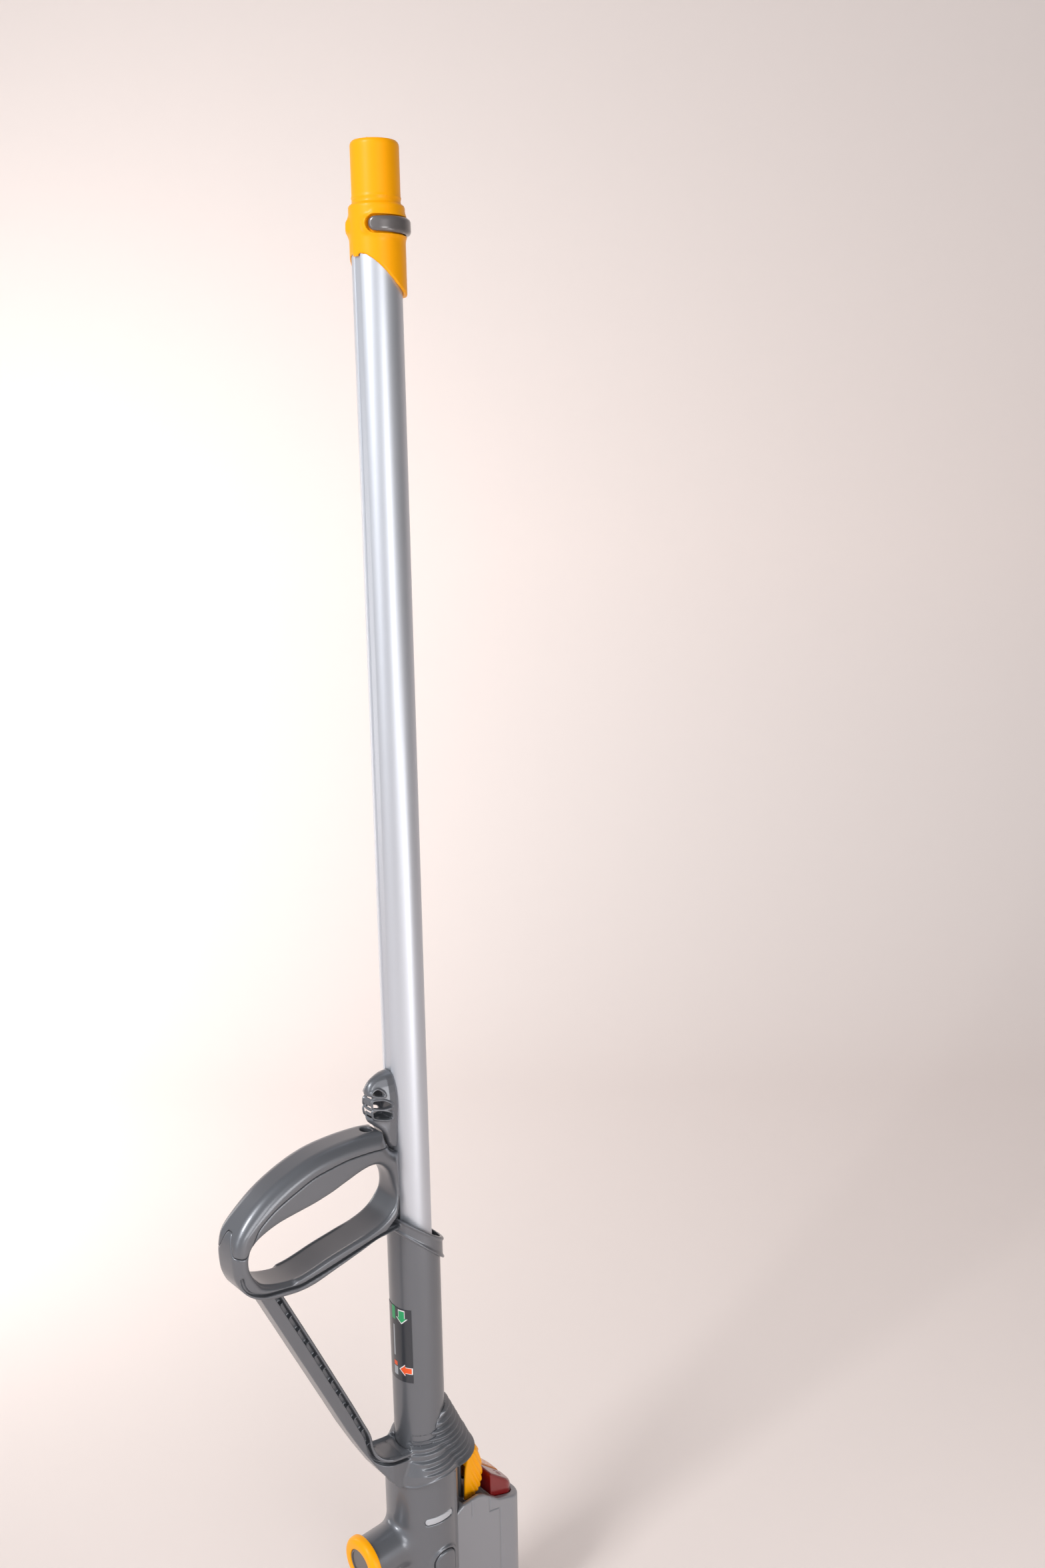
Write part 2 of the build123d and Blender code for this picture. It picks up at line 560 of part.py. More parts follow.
# ---- switch housing on the +X side of the column ----
HOUSE_END_X = 101.0
HOUSE_HALF_Y = 28.0
HOUSE_WALL = 3.0
ROOF = [     # x, z
    (10.0, 172.4), (19.0, 176.8), (28.0, 181.0), (46.0, 180.6), (53.0, 177.5),
    (70.0, 163.0), (84.0, 157.5), (103.0, 150.6), (103.0, 0.0), (10.0, 0.0)]
CEILING = [
    (20.0, 165.4), (57.0, 165.4), (70.0, 158.4), (84.0, 153.4), (103.0, 146.4),
    (103.0, 0.0), (20.0, 0.0)]
BUTTON_X_MIN, BUTTON_X_MAX = 65.4, 95.6
BUTTON_INNER_Y, BUTTON_OUTER_Y = 0.3, 21.0
STEM_X, STEM_Y = 77.8, 9.2
SHELF_TOP = 131.0


def rounded_end(x_min, x_max, half_y, z_low, radius):
    """Block rounded at its two +X corners."""
    block = prism_xy([(x_min, -half_y), (x_max, -half_y), (x_max, half_y), (x_min, half_y)],
                     z_low, 190.0)
    return fillet([edge for edge in block.edges().filter_by(Axis.Z)
                   if edge.center().X > 90], radius)


def button_block(side, z_low, gap=0.0, extra_round=0.0):
    """Upright block of one button, grown by gap for its opening."""
    x_min, x_max = BUTTON_X_MIN - gap, BUTTON_X_MAX + gap
    block = box(x_min, x_max, side * (BUTTON_INNER_Y - gap), side * (BUTTON_OUTER_Y + gap),
                z_low, 200.0)
    block = fillet([edge for edge in block.edges().filter_by(Axis.Z)
                    if edge.center().X > x_max - 1 and abs(edge.center().Y) > 5],
                   11.0 + extra_round)
    return fillet([edge for edge in block.edges().filter_by(Axis.Z)
                   if edge.center().X < x_min + 1 or abs(edge.center().Y) < 5],
                  1.0 + extra_round)


def switch_housing(cavity):
    house = rounded_end(15.0, HOUSE_END_X, HOUSE_HALF_Y, BASE_THICK + 0.05, 16.0)
    house = house & prism_xz(ROOF, 40)
    house -= cavity & prism_xz(CEILING, 40)
    # lever well, with two pin lugs and a spring post
    house -= bar(29.5, 61.5, 23.5, 168.4, 200.0)
    for side in (-1, 1):
        house += box(LEVER_X - 3.9, LEVER_X + 3.9, side * 9.5, side * 13.5, 167.0, 190.0)
    house += bar(41.2, 44.0, 6.0, 167.0, 206.0)
    house -= rod_y(1.52, LEVER_X, LEVER_Z, 14.0)
    for side in (-1, 1):
        house -= button_block(side, 141.0, gap=0.25, extra_round=0.2)
    house -= (rod(COLUMN_R + 0.05, 0, 300, TUBE_X)
              + bar(TUBE_X, SHOULDER_X + 0.05, SHOULDER_Y + 0.1, 0, 300))
    return largest(house)


def push_button(side):
    """Button with a sloping, softened top and a stem below."""
    block = button_block(side, 140.0) & prism_xz(
        [(40, 212.0), (110, 149.4), (110, 100), (40, 100)], 30)
    top_edges = [edge for edge in block.edges() if edge.center().Z > 160
                 and abs(edge.tangent_at(0.5).Z) < 0.9
                 and edge.center().Z > 189.6 - 0.894 * (edge.center().X - 65.0) - 1.0]
    block = soften(block, top_edges, (2.4, 1.6, 0.8))
    block += rod(2.0, 129.5, 140.5, STEM_X, side * STEM_Y)
    return block


def switch_shelf(cavity):
    shelf = bar(58.0, 96.9, 21.95, SHELF_TOP - 3.0, SHELF_TOP) & cavity
    for side in (-1, 1):
        shelf -= rod(2.4, 120, 140, STEM_X, side * STEM_Y)
    return shelf


def switch_module():
    module = bar(62.0, 92.0, 17.0, 108.0, 124.3)
    for x in (65.0, 89.0):
        for y in (-14.0, 14.0):
            module += rod(2.2, 124.0, 127.98, x, y)
    return module


cavity = rounded_end(27.0, HOUSE_END_X - HOUSE_WALL, HOUSE_HALF_Y - HOUSE_WALL, 5.0, 13.0)
save("switch_housing", switch_housing(cavity))
for side, name in ((-1, "power_button"), (1, "brush_button")):
    save(name, push_button(side))
    save(name + "_spring",
         Pos(STEM_X, side * STEM_Y, SHELF_TOP + 0.5) * coil(3.4, 0.4, 2.2, 8.0))
save("switch_shelf", switch_shelf(cavity))
save("switch_module", switch_module())

# ---- release lever ----
LEVER_OUTER = [     # x, z
    (34.0, 171.5), (34.4, 196.0), (35.6, 208.0), (38.6, 216.6), (52.0, 218.6),
    (53.0, 224.6), (56.0, 224.4), (59.4, 214.0), (62.0, 204.0), (63.6, 194.0),
    (63.0, 184.0), (59.6, 173.4), (56.0, 171.5)]
LEVER_INNER = [
    (37.0, 160.0), (37.4, 196.0), (38.6, 206.0), (41.0, 213.0), (50.0, 214.6),
    (55.0, 210.0), (58.4, 199.0), (60.0, 190.0), (58.8, 180.0), (55.0, 160.0)]
LEVER_RIBS = [(57.6, 214.2), (59.8, 206.6), (61.4, 199.2), (62.4, 191.6), (62.0, 184.6)]
LEVER_HALF_Y = 17.0


def release_lever():
    """Hollow lever with cross ribs on its +X face, cleared round the column."""
    lever = prism_xz(LEVER_OUTER, LEVER_HALF_Y)
    lever = soften(lever, [edge for edge in lever.edges() if edge.center().X > 52
                           and abs(abs(edge.center().Y) - LEVER_HALF_Y) < 0.05],
                   (5.0, 3.5, 2.0))
    lever -= prism_xz(LEVER_INNER, LEVER_HALF_Y - 3.0)
    for x, z in LEVER_RIBS:
        lever += rod_y(1.3, x, z, 11.0)
    lever -= rod(COLUMN_R + 0.9, 100, 300, TUBE_X) + rod(COLUMN_R + 1.9, 100, 187, TUBE_X)
    lever -= rod_y(1.56, LEVER_X, LEVER_Z, 30, -16.3)
    return largest(lever)


save("release_lever", release_lever())
save("lever_pin", rod_y(1.5, LEVER_X, LEVER_Z, 16.9, -16.2))
save("lever_spring", Pos(44.5, 0, 200.0) * Rot(0, 90, 0) * coil(3.0, 0.4, 2.4, 12.0))
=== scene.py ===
"""Wand with a loop handle, a brace strut and a docking column.

The wand stands along +z with its axis on x = 0, y = 0. The handle loop, strut and hose port
reach towards -x; the switch housing and its lever are on the +x side. The object is close
to symmetric about y = 0. Shapes are worked out in millimetres and written as metres.

Most skins are signed distance fields (negative inside) meshed on a regular grid.
"""
import json
import math

import bmesh
import bpy
import numpy as np
from mathutils import Matrix, Vector
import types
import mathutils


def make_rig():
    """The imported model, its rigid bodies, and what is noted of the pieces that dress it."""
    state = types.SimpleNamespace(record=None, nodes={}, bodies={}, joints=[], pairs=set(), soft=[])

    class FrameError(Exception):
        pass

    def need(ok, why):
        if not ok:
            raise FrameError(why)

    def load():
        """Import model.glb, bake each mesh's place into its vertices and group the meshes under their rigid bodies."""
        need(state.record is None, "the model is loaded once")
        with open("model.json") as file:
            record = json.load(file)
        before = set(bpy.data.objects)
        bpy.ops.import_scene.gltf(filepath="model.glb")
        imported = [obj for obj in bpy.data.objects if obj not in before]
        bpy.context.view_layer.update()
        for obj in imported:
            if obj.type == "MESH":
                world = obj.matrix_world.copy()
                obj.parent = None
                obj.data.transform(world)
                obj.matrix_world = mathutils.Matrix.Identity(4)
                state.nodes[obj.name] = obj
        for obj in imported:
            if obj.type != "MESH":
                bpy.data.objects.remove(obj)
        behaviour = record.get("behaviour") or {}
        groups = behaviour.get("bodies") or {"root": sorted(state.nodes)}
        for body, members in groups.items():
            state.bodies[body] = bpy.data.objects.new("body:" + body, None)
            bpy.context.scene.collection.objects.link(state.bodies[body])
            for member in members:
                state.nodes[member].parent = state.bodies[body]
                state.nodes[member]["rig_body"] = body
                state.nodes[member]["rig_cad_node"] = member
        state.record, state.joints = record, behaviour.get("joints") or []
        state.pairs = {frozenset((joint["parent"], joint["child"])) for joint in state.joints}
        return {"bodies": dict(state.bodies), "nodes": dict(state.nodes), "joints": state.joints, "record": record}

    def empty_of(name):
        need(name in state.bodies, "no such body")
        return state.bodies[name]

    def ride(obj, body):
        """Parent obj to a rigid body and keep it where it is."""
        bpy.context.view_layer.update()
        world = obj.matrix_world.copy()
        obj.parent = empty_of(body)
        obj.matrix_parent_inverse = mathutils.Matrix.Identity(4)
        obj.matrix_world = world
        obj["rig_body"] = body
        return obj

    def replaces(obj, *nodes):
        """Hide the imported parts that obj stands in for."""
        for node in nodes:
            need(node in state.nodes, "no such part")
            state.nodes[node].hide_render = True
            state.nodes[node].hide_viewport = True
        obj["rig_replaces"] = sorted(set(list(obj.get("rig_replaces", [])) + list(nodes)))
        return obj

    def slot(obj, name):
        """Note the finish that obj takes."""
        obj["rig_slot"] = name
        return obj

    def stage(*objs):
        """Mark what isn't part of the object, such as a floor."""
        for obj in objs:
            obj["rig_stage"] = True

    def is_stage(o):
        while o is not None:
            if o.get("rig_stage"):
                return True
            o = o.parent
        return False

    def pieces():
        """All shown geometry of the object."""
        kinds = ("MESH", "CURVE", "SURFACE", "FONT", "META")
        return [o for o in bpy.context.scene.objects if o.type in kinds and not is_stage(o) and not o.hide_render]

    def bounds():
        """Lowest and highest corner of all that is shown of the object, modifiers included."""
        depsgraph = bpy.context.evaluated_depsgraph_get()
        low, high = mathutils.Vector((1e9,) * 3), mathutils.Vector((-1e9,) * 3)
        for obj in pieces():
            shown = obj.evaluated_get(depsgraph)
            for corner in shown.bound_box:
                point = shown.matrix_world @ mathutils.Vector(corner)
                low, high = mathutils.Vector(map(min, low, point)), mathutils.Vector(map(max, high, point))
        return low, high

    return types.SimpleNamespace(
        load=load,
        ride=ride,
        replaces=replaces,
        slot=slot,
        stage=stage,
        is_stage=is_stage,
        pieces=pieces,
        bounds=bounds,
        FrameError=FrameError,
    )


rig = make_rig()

SIZE_FILE = "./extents.json"
MM = 0.001

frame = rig.load()


def note_size(key):
    try:
        data = json.load(open(SIZE_FILE))
    except (OSError, ValueError):  # the file may not exist yet, or may be empty
        data = {}
    data[key] = [[float(c) for c in point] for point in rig.bounds()]
    json.dump(data, open(SIZE_FILE, "w"))


note_size("cad")

# ------------------------------------------------------------------ shared sizes, mm
WAND_R = 18.0
BODY_X = 2.6            # axis of the outer tube and the docking column
TUBE_R = 22.5           # outer tube
TUBE_FIT_R = 22.55      # bore of the parts that wrap the outer tube
LIP_Z, LIP_SLOPE = 466.0, -0.76     # upper slanted end of the handle band: z at x = 0, dz/dx
LOW_Z, LOW_SLOPE = 449.2, -0.896    # lower slanted end of the band
PORT_Z = 160.0          # axis of the hose port, along x


# ------------------------------------------------------------------ materials
def linear_colour(hexcode):
    """Linear RGBA from an sRGB hex code."""
    out = []
    for i in (0, 2, 4):
        value = int(hexcode[i:i + 2], 16) / 255.0
        out.append(value / 12.92 if value <= 0.04045 else ((value + 0.055) / 1.055) ** 2.4)
    return (*out, 1.0)


def material(name, colour, rough=0.4, metal=0.0, coat=0.0, coat_rough=0.1, specular=0.5,
             transmission=0.0, mottle=0.0, bump=0.0):
    """Principled material; mottle varies the roughness, bump adds a fine grain."""
    mat = bpy.data.materials.new(name)
    mat.use_nodes = True
    nodes, links = mat.node_tree.nodes, mat.node_tree.links
    shader = nodes["Principled BSDF"]
    for socket, value in {
        "Base Color": linear_colour(colour),
        "Roughness": rough,
        "Metallic": metal,
        "Coat Weight": coat,
        "Coat Roughness": coat_rough,
        "Specular IOR Level": specular,
        "Transmission Weight": transmission,
        "IOR": 1.5,
    }.items():
        shader.inputs[socket].default_value = value
    if mottle > 0 or bump > 0:
        coords = nodes.new("ShaderNodeTexCoord")

    def noise(scale, detail):
        node = nodes.new("ShaderNodeTexNoise")
        node.inputs["Scale"].default_value = scale
        node.inputs["Detail"].default_value = detail
        links.new(coords.outputs["Object"], node.inputs["Vector"])
        return node.outputs["Fac"]

    if mottle > 0:
        patches = noise(scale=35.0, detail=6.0)
        spread = nodes.new("ShaderNodeMapRange")
        spread.inputs["To Min"].default_value = max(0.0, rough - mottle)
        spread.inputs["To Max"].default_value = rough + mottle
        links.new(patches, spread.inputs["Value"])
        links.new(spread.outputs["Result"], shader.inputs["Roughness"])
    if bump > 0:
        grain = noise(scale=900.0, detail=3.0)
        relief = nodes.new("ShaderNodeBump")
        relief.inputs["Strength"].default_value = bump
        relief.inputs["Distance"].default_value = 0.0003
        links.new(grain, relief.inputs["Height"])
        links.new(relief.outputs["Normal"], shader.inputs["Normal"])
    return mat


SLOT_MATERIAL = {
    "grey_plastic": material("metallic_grey", "6e7075", rough=0.34, metal=0.45, coat=0.3,
                             mottle=0.03, bump=0.04),
    "light_grey_plastic": material("housing_grey", "919297", rough=0.36, metal=0.3, coat=0.2,
                                   mottle=0.03),
    "warm_grey_plastic": material("warm_grey", "6f6a69", rough=0.28, metal=0.3, coat=0.5),
    "yellow_plastic": material("yellow", "ffa900", coat=0.06, mottle=0.03, specular=0.22),
    "anodised_aluminium": material("anodised", "d0d3da", rough=0.42, metal=0.72, bump=0.03,
                                   mottle=0.02),
    "black_plastic": material("black_plastic", "1c1c1e", rough=0.5),
    "red_plastic": material("red_clear", "861214", rough=0.2, coat=0.15, transmission=0.1),
    "amber_plastic": material("amber_clear", "ea8a12", rough=0.2, coat=0.15,
                              transmission=0.15),
    "spring_steel": material("steel", "9a9a9c", rough=0.3, metal=1.0),
    "rubber": material("rubber", "151515", rough=0.7),
    "label_film": material("label_film", "2f3238", rough=0.3, coat=0.3),
}
CAP = material("cap_grey", "5d5957", rough=0.32, coat=0.3)
SLOT_MATERIAL["window_plastic"] = material("window_milky", "c9cacf", rough=0.25,
                                           transmission=0.2)
GREEN = material("arrow_green", "2aa566")
ORANGE = material("arrow_orange", "ef5a22")
WHITE = material("arrow_white", "e4e4e4")
PRINT_GREY = material("print_grey", "a9adb2")

slot_of_node = {part["node"]: part["material_slot"] for part in frame["record"]["subparts"]}
for node_name, node_object in frame["nodes"].items():
    node_object.data.materials.clear()
    node_object.data.materials.append(
        CAP if node_name == "port_cap" else SLOT_MATERIAL[slot_of_node[node_name]])


# ------------------------------------------------------------------ meshing
def axis_slice(axis, start, stop):
    cuts = [slice(None)] * 3
    cuts[axis] = slice(start, stop)
    return tuple(cuts)


def surface_nets(field, low, cell):
    """Vertices and quads of the zero surface: one vertex in each cell that it crosses."""
    solid = field < 0
    corners = [(a, b, c) for a in (0, 1) for b in (0, 1) for c in (0, 1)]
    size = field.shape
    filled = np.zeros(tuple(n - 1 for n in size), np.int8)
    for a, b, c in corners:
        filled += solid[a:size[0] - 1 + a, b:size[1] - 1 + b, c:size[2] - 1 + c]
    mixed = (filled > 0) & (filled < 8)
    i, j, k = np.nonzero(mixed)
    index = -np.ones(mixed.shape, np.int32)
    index[i, j, k] = np.arange(len(i))

    # a vertex is the mean of the crossings on the edges of its cell
    total = np.zeros((len(i), 3))
    count = np.zeros(len(i))
    for start in corners:
        for axis in range(3):
            if start[axis]:
                continue
            end = list(start)
            end[axis] = 1
            f_start = field[i + start[0], j + start[1], k + start[2]]
            f_end = field[i + end[0], j + end[1], k + end[2]]
            hit = (f_start < 0) != (f_end < 0)
            place = np.tile(np.array(start, float), (len(i), 1))
            place[:, axis] += np.where(hit, f_start / np.where(hit, f_start - f_end, 1.0), 0.0)
            total += place * hit[:, None]
            count += hit
    verts = (total / count[:, None] + np.stack([i, j, k], 1)) * cell + np.array(low)

    # a quad joins the four cells round each grid edge that changes side
    quads = []
    for axis in range(3):
        u, v = [(1, 2), (2, 0), (0, 1)][axis]
        before = solid[axis_slice(axis, 0, -1)]
        change = before != solid[axis_slice(axis, 1, None)]
        edges = np.array(np.nonzero(change[axis_slice(u, 1, -1)][axis_slice(v, 1, -1)]))
        edges[u] += 1
        edges[v] += 1
        ring = []
        for step_u, step_v in ((-1, -1), (0, -1), (0, 0), (-1, 0)):
            cells = edges.copy()
            cells[u] += step_u
            cells[v] += step_v
            ring.append(index[cells[0], cells[1], cells[2]])
        ring = np.stack(ring, 1)
        flip = ~before[edges[0], edges[1], edges[2]]
        ring[flip] = ring[flip][:, ::-1]
        quads.append(ring)
    return verts, np.concatenate(quads)


def relaxed(verts, quads, passes, keep=0.45):
    """Pull each vertex towards the mean of its neighbours; keep is its own share."""
    for _ in range(passes):
        total = np.zeros((len(verts), 3))
        count = np.zeros(len(verts))
        for a, b in ((0, 1), (1, 2), (2, 3), (3, 0)):
            for here, there in ((a, b), (b, a)):
                np.add.at(total, quads[:, here], verts[quads[:, there]])
                np.add.at(count, quads[:, here], 1)
        verts = verts * keep + (total / count[:, None]) * (1 - keep)
    return verts


def mesh_object(name, verts, quads, body, slot):
    """Smooth-shaded object from mm vertices and quads, riding on a body."""
    mesh = bpy.data.meshes.new(name)
    mesh.vertices.add(len(verts))
    mesh.vertices.foreach_set("co", (np.asarray(verts, float) * MM).astype(np.float32).ravel())
    mesh.loops.add(quads.size)
    mesh.loops.foreach_set("vertex_index", quads.astype(np.int32).ravel())
    mesh.polygons.add(len(quads))
    mesh.polygons.foreach_set("loop_start", np.arange(0, quads.size, 4, dtype=np.int32))
    mesh.update(calc_edges=True)
    mesh.validate()
    mesh.polygons.foreach_set("use_smooth", [True] * len(mesh.polygons))
    mesh.materials.append(SLOT_MATERIAL[slot])
    obj = bpy.data.objects.new(name, mesh)
    bpy.context.scene.collection.objects.link(obj)
    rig.ride(obj, body)
    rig.slot(obj, slot)
    return obj


def field_piece(name, field, low, high, cell, body, node, slot="grey_plastic", relax=2):
    """Mesh a field(x, y, z) between two corners on a grid of the given cell size."""
    x, y, z = [np.arange(a, b + cell, cell, dtype=np.float32) for a, b in zip(low, high)]
    values = field(x[:, None, None], y[None, :, None], z[None, None, :])
    values = np.broadcast_to(values, (x.size, y.size, z.size)).astype(np.float32)
    verts, quads = surface_nets(values, low, cell)
    obj = mesh_object(name, relaxed(verts, quads, relax), quads, body, slot)
    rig.replaces(obj, node)


# ------------------------------------------------------------------ curves in the x, z plane
def curve_span(before, start, end, after, count):
    """Catmull-Rom points from start up to, but without, end."""
    return [0.5 * ((2 * start) + (-before + end) * t
                   + (2 * before - 5 * start + 4 * end - after) * t * t
                   + (-before + 3 * start - 3 * end + after) * t ** 3)
            for t in np.linspace(0, 1, count, endpoint=False)]


def closed_curve(points, count=8):
    points = np.array(points, float)
    n = len(points)
    out = []
    for i in range(n):
        out += curve_span(points[i - 1], points[i], points[(i + 1) % n], points[(i + 2) % n],
                          count)
    return np.array(out)


def open_curve(points, count=8):
    points = np.array(points, float)
    points = np.vstack([2 * points[0] - points[1], points, 2 * points[-1] - points[-2]])
    out = []
    for i in range(1, len(points) - 2):
        out += curve_span(*points[i - 1:i + 3], count)
    out.append(points[-2])
    return np.array(out)


def segment_distance2(start, end, u, v):
    """Squared distance from the points (u, v) to a segment."""
    step = end - start
    length2 = max(float(step @ step), 1e-9)
    t = np.clip(((u - start[0]) * step[0] + (v - start[1]) * step[1]) / length2, 0, 1)
    return (u - (start[0] + t * step[0])) ** 2 + (v - (start[1] + t * step[1])) ** 2


def region(outline, x, z):
    """Signed distance in the x, z plane to a closed outline, the same for every y."""
    points = np.asarray(outline, np.float32)
    u, v = np.meshgrid(np.ravel(x), np.ravel(z), indexing="ij")
    best = np.full(u.shape, 1e9, np.float32)
    inside = np.zeros(u.shape, bool)
    for start, end in zip(points, np.roll(points, -1, axis=0)):
        step = end - start
        if float(step @ step) < 1e-9:
            continue
        best = np.minimum(best, segment_distance2(start, end, u, v))
        if abs(step[1]) > 1e-9:
            crosses = (start[1] > v) != (end[1] > v)
            inside ^= crosses & (u < start[0] + (v - start[1]) * step[0] / step[1])
    distance = np.sqrt(best)
    return np.where(inside, -distance, distance)[:, None, :]


def trace(line, x, z):
    """Unsigned distance in the x, z plane to an open line, the same for every y."""
    points = np.asarray(line, np.float32)
    u, v = np.meshgrid(np.ravel(x), np.ravel(z), indexing="ij")
    best = np.full(u.shape, 1e9, np.float32)
    for start, end in zip(points[:-1], points[1:]):
        best = np.minimum(best, segment_distance2(start, end, u, v))
    return np.sqrt(best)[:, None, :]


# ------------------------------------------------------------------ combining fields
NO_CUT = -50.0          # field value that never wins a maximum


def join_soft(a, b, blend):
    """Union with a fillet."""
    share = np.clip(0.5 + 0.5 * (b - a) / blend, 0, 1)
    return b + (a - b) * share - blend * share * (1 - share)


def meet_soft(a, b, blend):
    """Intersection with a rounded edge."""
    return -join_soft(-a, -b, blend)


def meet(*fields):
    out = fields[0]
    for field in fields[1:]:
        out = np.maximum(out, field)
    return out


def cut(shape, tool):
    return np.maximum(shape, -tool)


def cut_soft(shape, tool, blend):
    return meet_soft(shape, -tool, blend)


def cut_where(zone, shape, tool):
    """Cut only where zone is true."""
    return np.maximum(shape, np.where(zone, -tool, NO_CUT))


def rounded(a, b, edge):
    """Intersection of two fields whose shared edge has a radius."""
    a, b = a + edge, b + edge
    return (np.minimum(np.maximum(a, b), 0)
            + np.hypot(np.maximum(a, 0), np.maximum(b, 0)) - edge)


def slab(value, centre, half):
    return np.abs(value - centre) - half


def stadium(u, v, half, radius):
    """Pill outline: straight for +-half along v, with round ends."""
    return np.hypot(u, np.maximum(np.abs(v) - half, 0)) - radius


def box_plan(x, y, x0, x1, half, corner):
    """Rectangle from x0 to x1 and +-half in y, with rounded corners."""
    u = np.abs(x - (x0 + x1) / 2) - (x1 - x0) / 2 + corner
    v = np.abs(y) - half + corner
    return np.minimum(np.maximum(u, v), 0) + np.hypot(np.maximum(u, 0), np.maximum(v, 0)) - corner


def radius_from(x, y, centre_x=0.0):
    return np.hypot(x - centre_x, y)


def angle_about(x, y, centre_x):
    """Angle round a vertical axis in degrees, 0 towards +x."""
    return np.degrees(np.arctan2(y, x - centre_x))


def above_slant(x, z, height, slope):
    """Distance above a slanted plane that has the given height at x = 0."""
    return (z - (height + slope * x)) / math.hypot(1, slope)


def ease(start, end, value):
    """Smooth step from 0 at start to 1 at end."""
    t = np.clip((value - start) / (end - start), 0, 1)
    return t * t * (3 - 2 * t)


def lookup(table, position):
    """Interpolate a table of (position, value) pairs."""
    positions, values = zip(*table)
    return np.interp(position, positions, values).astype(np.float32)


# ------------------------------------------------------------------ round tubes
SHARP_EDGE = math.radians(32)


def circle(radius, count=192):
    """Ring about the outer tube's axis."""
    turns = [2 * math.pi * i / count for i in range(count)]
    return [(BODY_X + radius * math.cos(a), radius * math.sin(a)) for a in turns]


def groove_ring(radius, floor, half, count=480):
    """Ring about the wand's axis, with its -x side drawn in to x = -floor over +-half in y."""
    ramp = 0.35         # the groove's wall spreads this far to each side of half
    points = []
    for i in range(count):
        a = 2 * math.pi * i / count
        x, y = radius * math.cos(a), radius * math.sin(a)
        if x < 0 and abs(y) < half + ramp:
            t = min(1.0, max(0.0, (half + ramp - abs(y)) / (2 * ramp)))
            t = t * t * (3 - 2 * t)
            x = x * (1 - t) + (-floor) * t
        points.append((x, y))
    return points


def mark_sharp_edges(obj):
    bm = bmesh.new()
    bm.from_mesh(obj.data)
    for edge in bm.edges:
        if len(edge.link_faces) == 2 and edge.calc_face_angle(0) > SHARP_EDGE:
            edge.smooth = False
    bm.to_mesh(obj.data)
    bm.free()


def tube(name, ring_out, ring_in, bottom, top, body, node, slot):
    """Tube between two rings, from z = bottom to z = top(x)."""
    n = len(ring_out)
    verts = []
    for ring in (ring_out, ring_in):
        verts += [(x, y, bottom) for x, y in ring]
        verts += [(x, y, top(x)) for x, y in ring]
    inner = 2 * n       # first vertex of the inner wall
    faces = []
    for i in range(n):
        j = (i + 1) % n
        faces.append((i, j, n + j, n + i))
        faces.append((inner + n + i, inner + n + j, inner + j, inner + i))
    for i in range(n):
        j = (i + 1) % n
        faces.append((n + i, n + j, inner + n + j, inner + n + i))
        faces.append((j, i, inner + i, inner + j))
    obj = mesh_object(name, verts, np.array(faces), body, slot)
    mark_sharp_edges(obj)
    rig.replaces(obj, node)


tube("wand_tube_skin", groove_ring(WAND_R, floor=16.8, half=3.9),
     groove_ring(16.7, floor=15.6, half=4.6), bottom=375.0, top=lambda x: 1250.0,
     body="wand", node="wand_tube", slot="anodised_aluminium")
tube("outer_tube_skin", circle(TUBE_R), circle(21.0), bottom=150.0,
     top=lambda x: LIP_Z - 4.0 + LIP_SLOPE * x,
     body="handle", node="outer_tube", slot="grey_plastic")

# ------------------------------------------------------------------ handle loop
# Outlines are (x, z) points.
LOOP_OUTSIDE = [
    (-32.3, 565.6), (-45.4, 568.1), (-66.7, 569.8), (-90.0, 569.6), (-108.3, 566.6),
    (-127.0, 560.6), (-142.7, 553.2), (-155.0, 545.2), (-165.5, 536.0), (-172.6, 526.6),
    (-175.6, 516.5), (-176.2, 505.0), (-174.5, 492.0), (-168.5, 480.0), (-159.0, 472.0),
    (-148.0, 467.6), (-136.0, 464.6), (-122.0, 462.4), (-108.0, 462.6), (-90.0, 466.0),
    (-65.0, 471.0), (-47.0, 475.0), (-37.0, 475.6), (-26.0, 475.8)]
# straight run that closes the outside by the wand
LOOP_ROOT = [(-8.0, 470.0), (-8.0, 541.8), (-19.8, 542.2), (-22.8, 544.2), (-26.0, 547.6),
             (-28.6, 553.0), (-30.9, 560.2)]
LOOP_HOLE = [
    (-23.5, 502.0), (-23.7, 514.0), (-27.5, 526.5), (-35.0, 535.5), (-45.0, 539.6),
    (-58.0, 539.8), (-75.0, 537.2), (-88.0, 534.2), (-104.0, 531.5), (-120.0, 530.0),
    (-136.0, 528.2), (-148.0, 525.0), (-157.5, 520.6), (-163.2, 513.8), (-165.0, 505.5),
    (-163.6, 497.0), (-159.0, 488.6), (-153.0, 482.0), (-142.0, 477.0), (-126.5, 473.6),
    (-112.0, 474.2), (-91.0, 478.0), (-66.0, 481.4), (-43.0, 486.0), (-30.5, 492.4)]
# seam between frame and cover: on the flanks, and along the middle plane
SEAM_SHARED = [
    (-10.0, 541.4), (-16.2, 544.3), (-20.0, 547.2), (-24.0, 549.9), (-29.6, 551.8),
    (-40.3, 554.3), (-54.0, 556.0), (-71.0, 557.0), (-87.0, 556.0), (-103.5, 554.0),
    (-119.0, 549.0), (-135.0, 543.0), (-146.0, 537.0)]
SEAM_FLANK = SEAM_SHARED + [(-155.0, 530.0), (-159.4, 522.6), (-162.6, 516.6),
                            (-167.0, 512.2), (-172.4, 512.6), (-184.0, 518.0)]
SEAM_MIDDLE = SEAM_SHARED + [(-155.0, 533.0), (-163.0, 531.0), (-172.0, 529.0),
                             (-184.0, 529.0)]
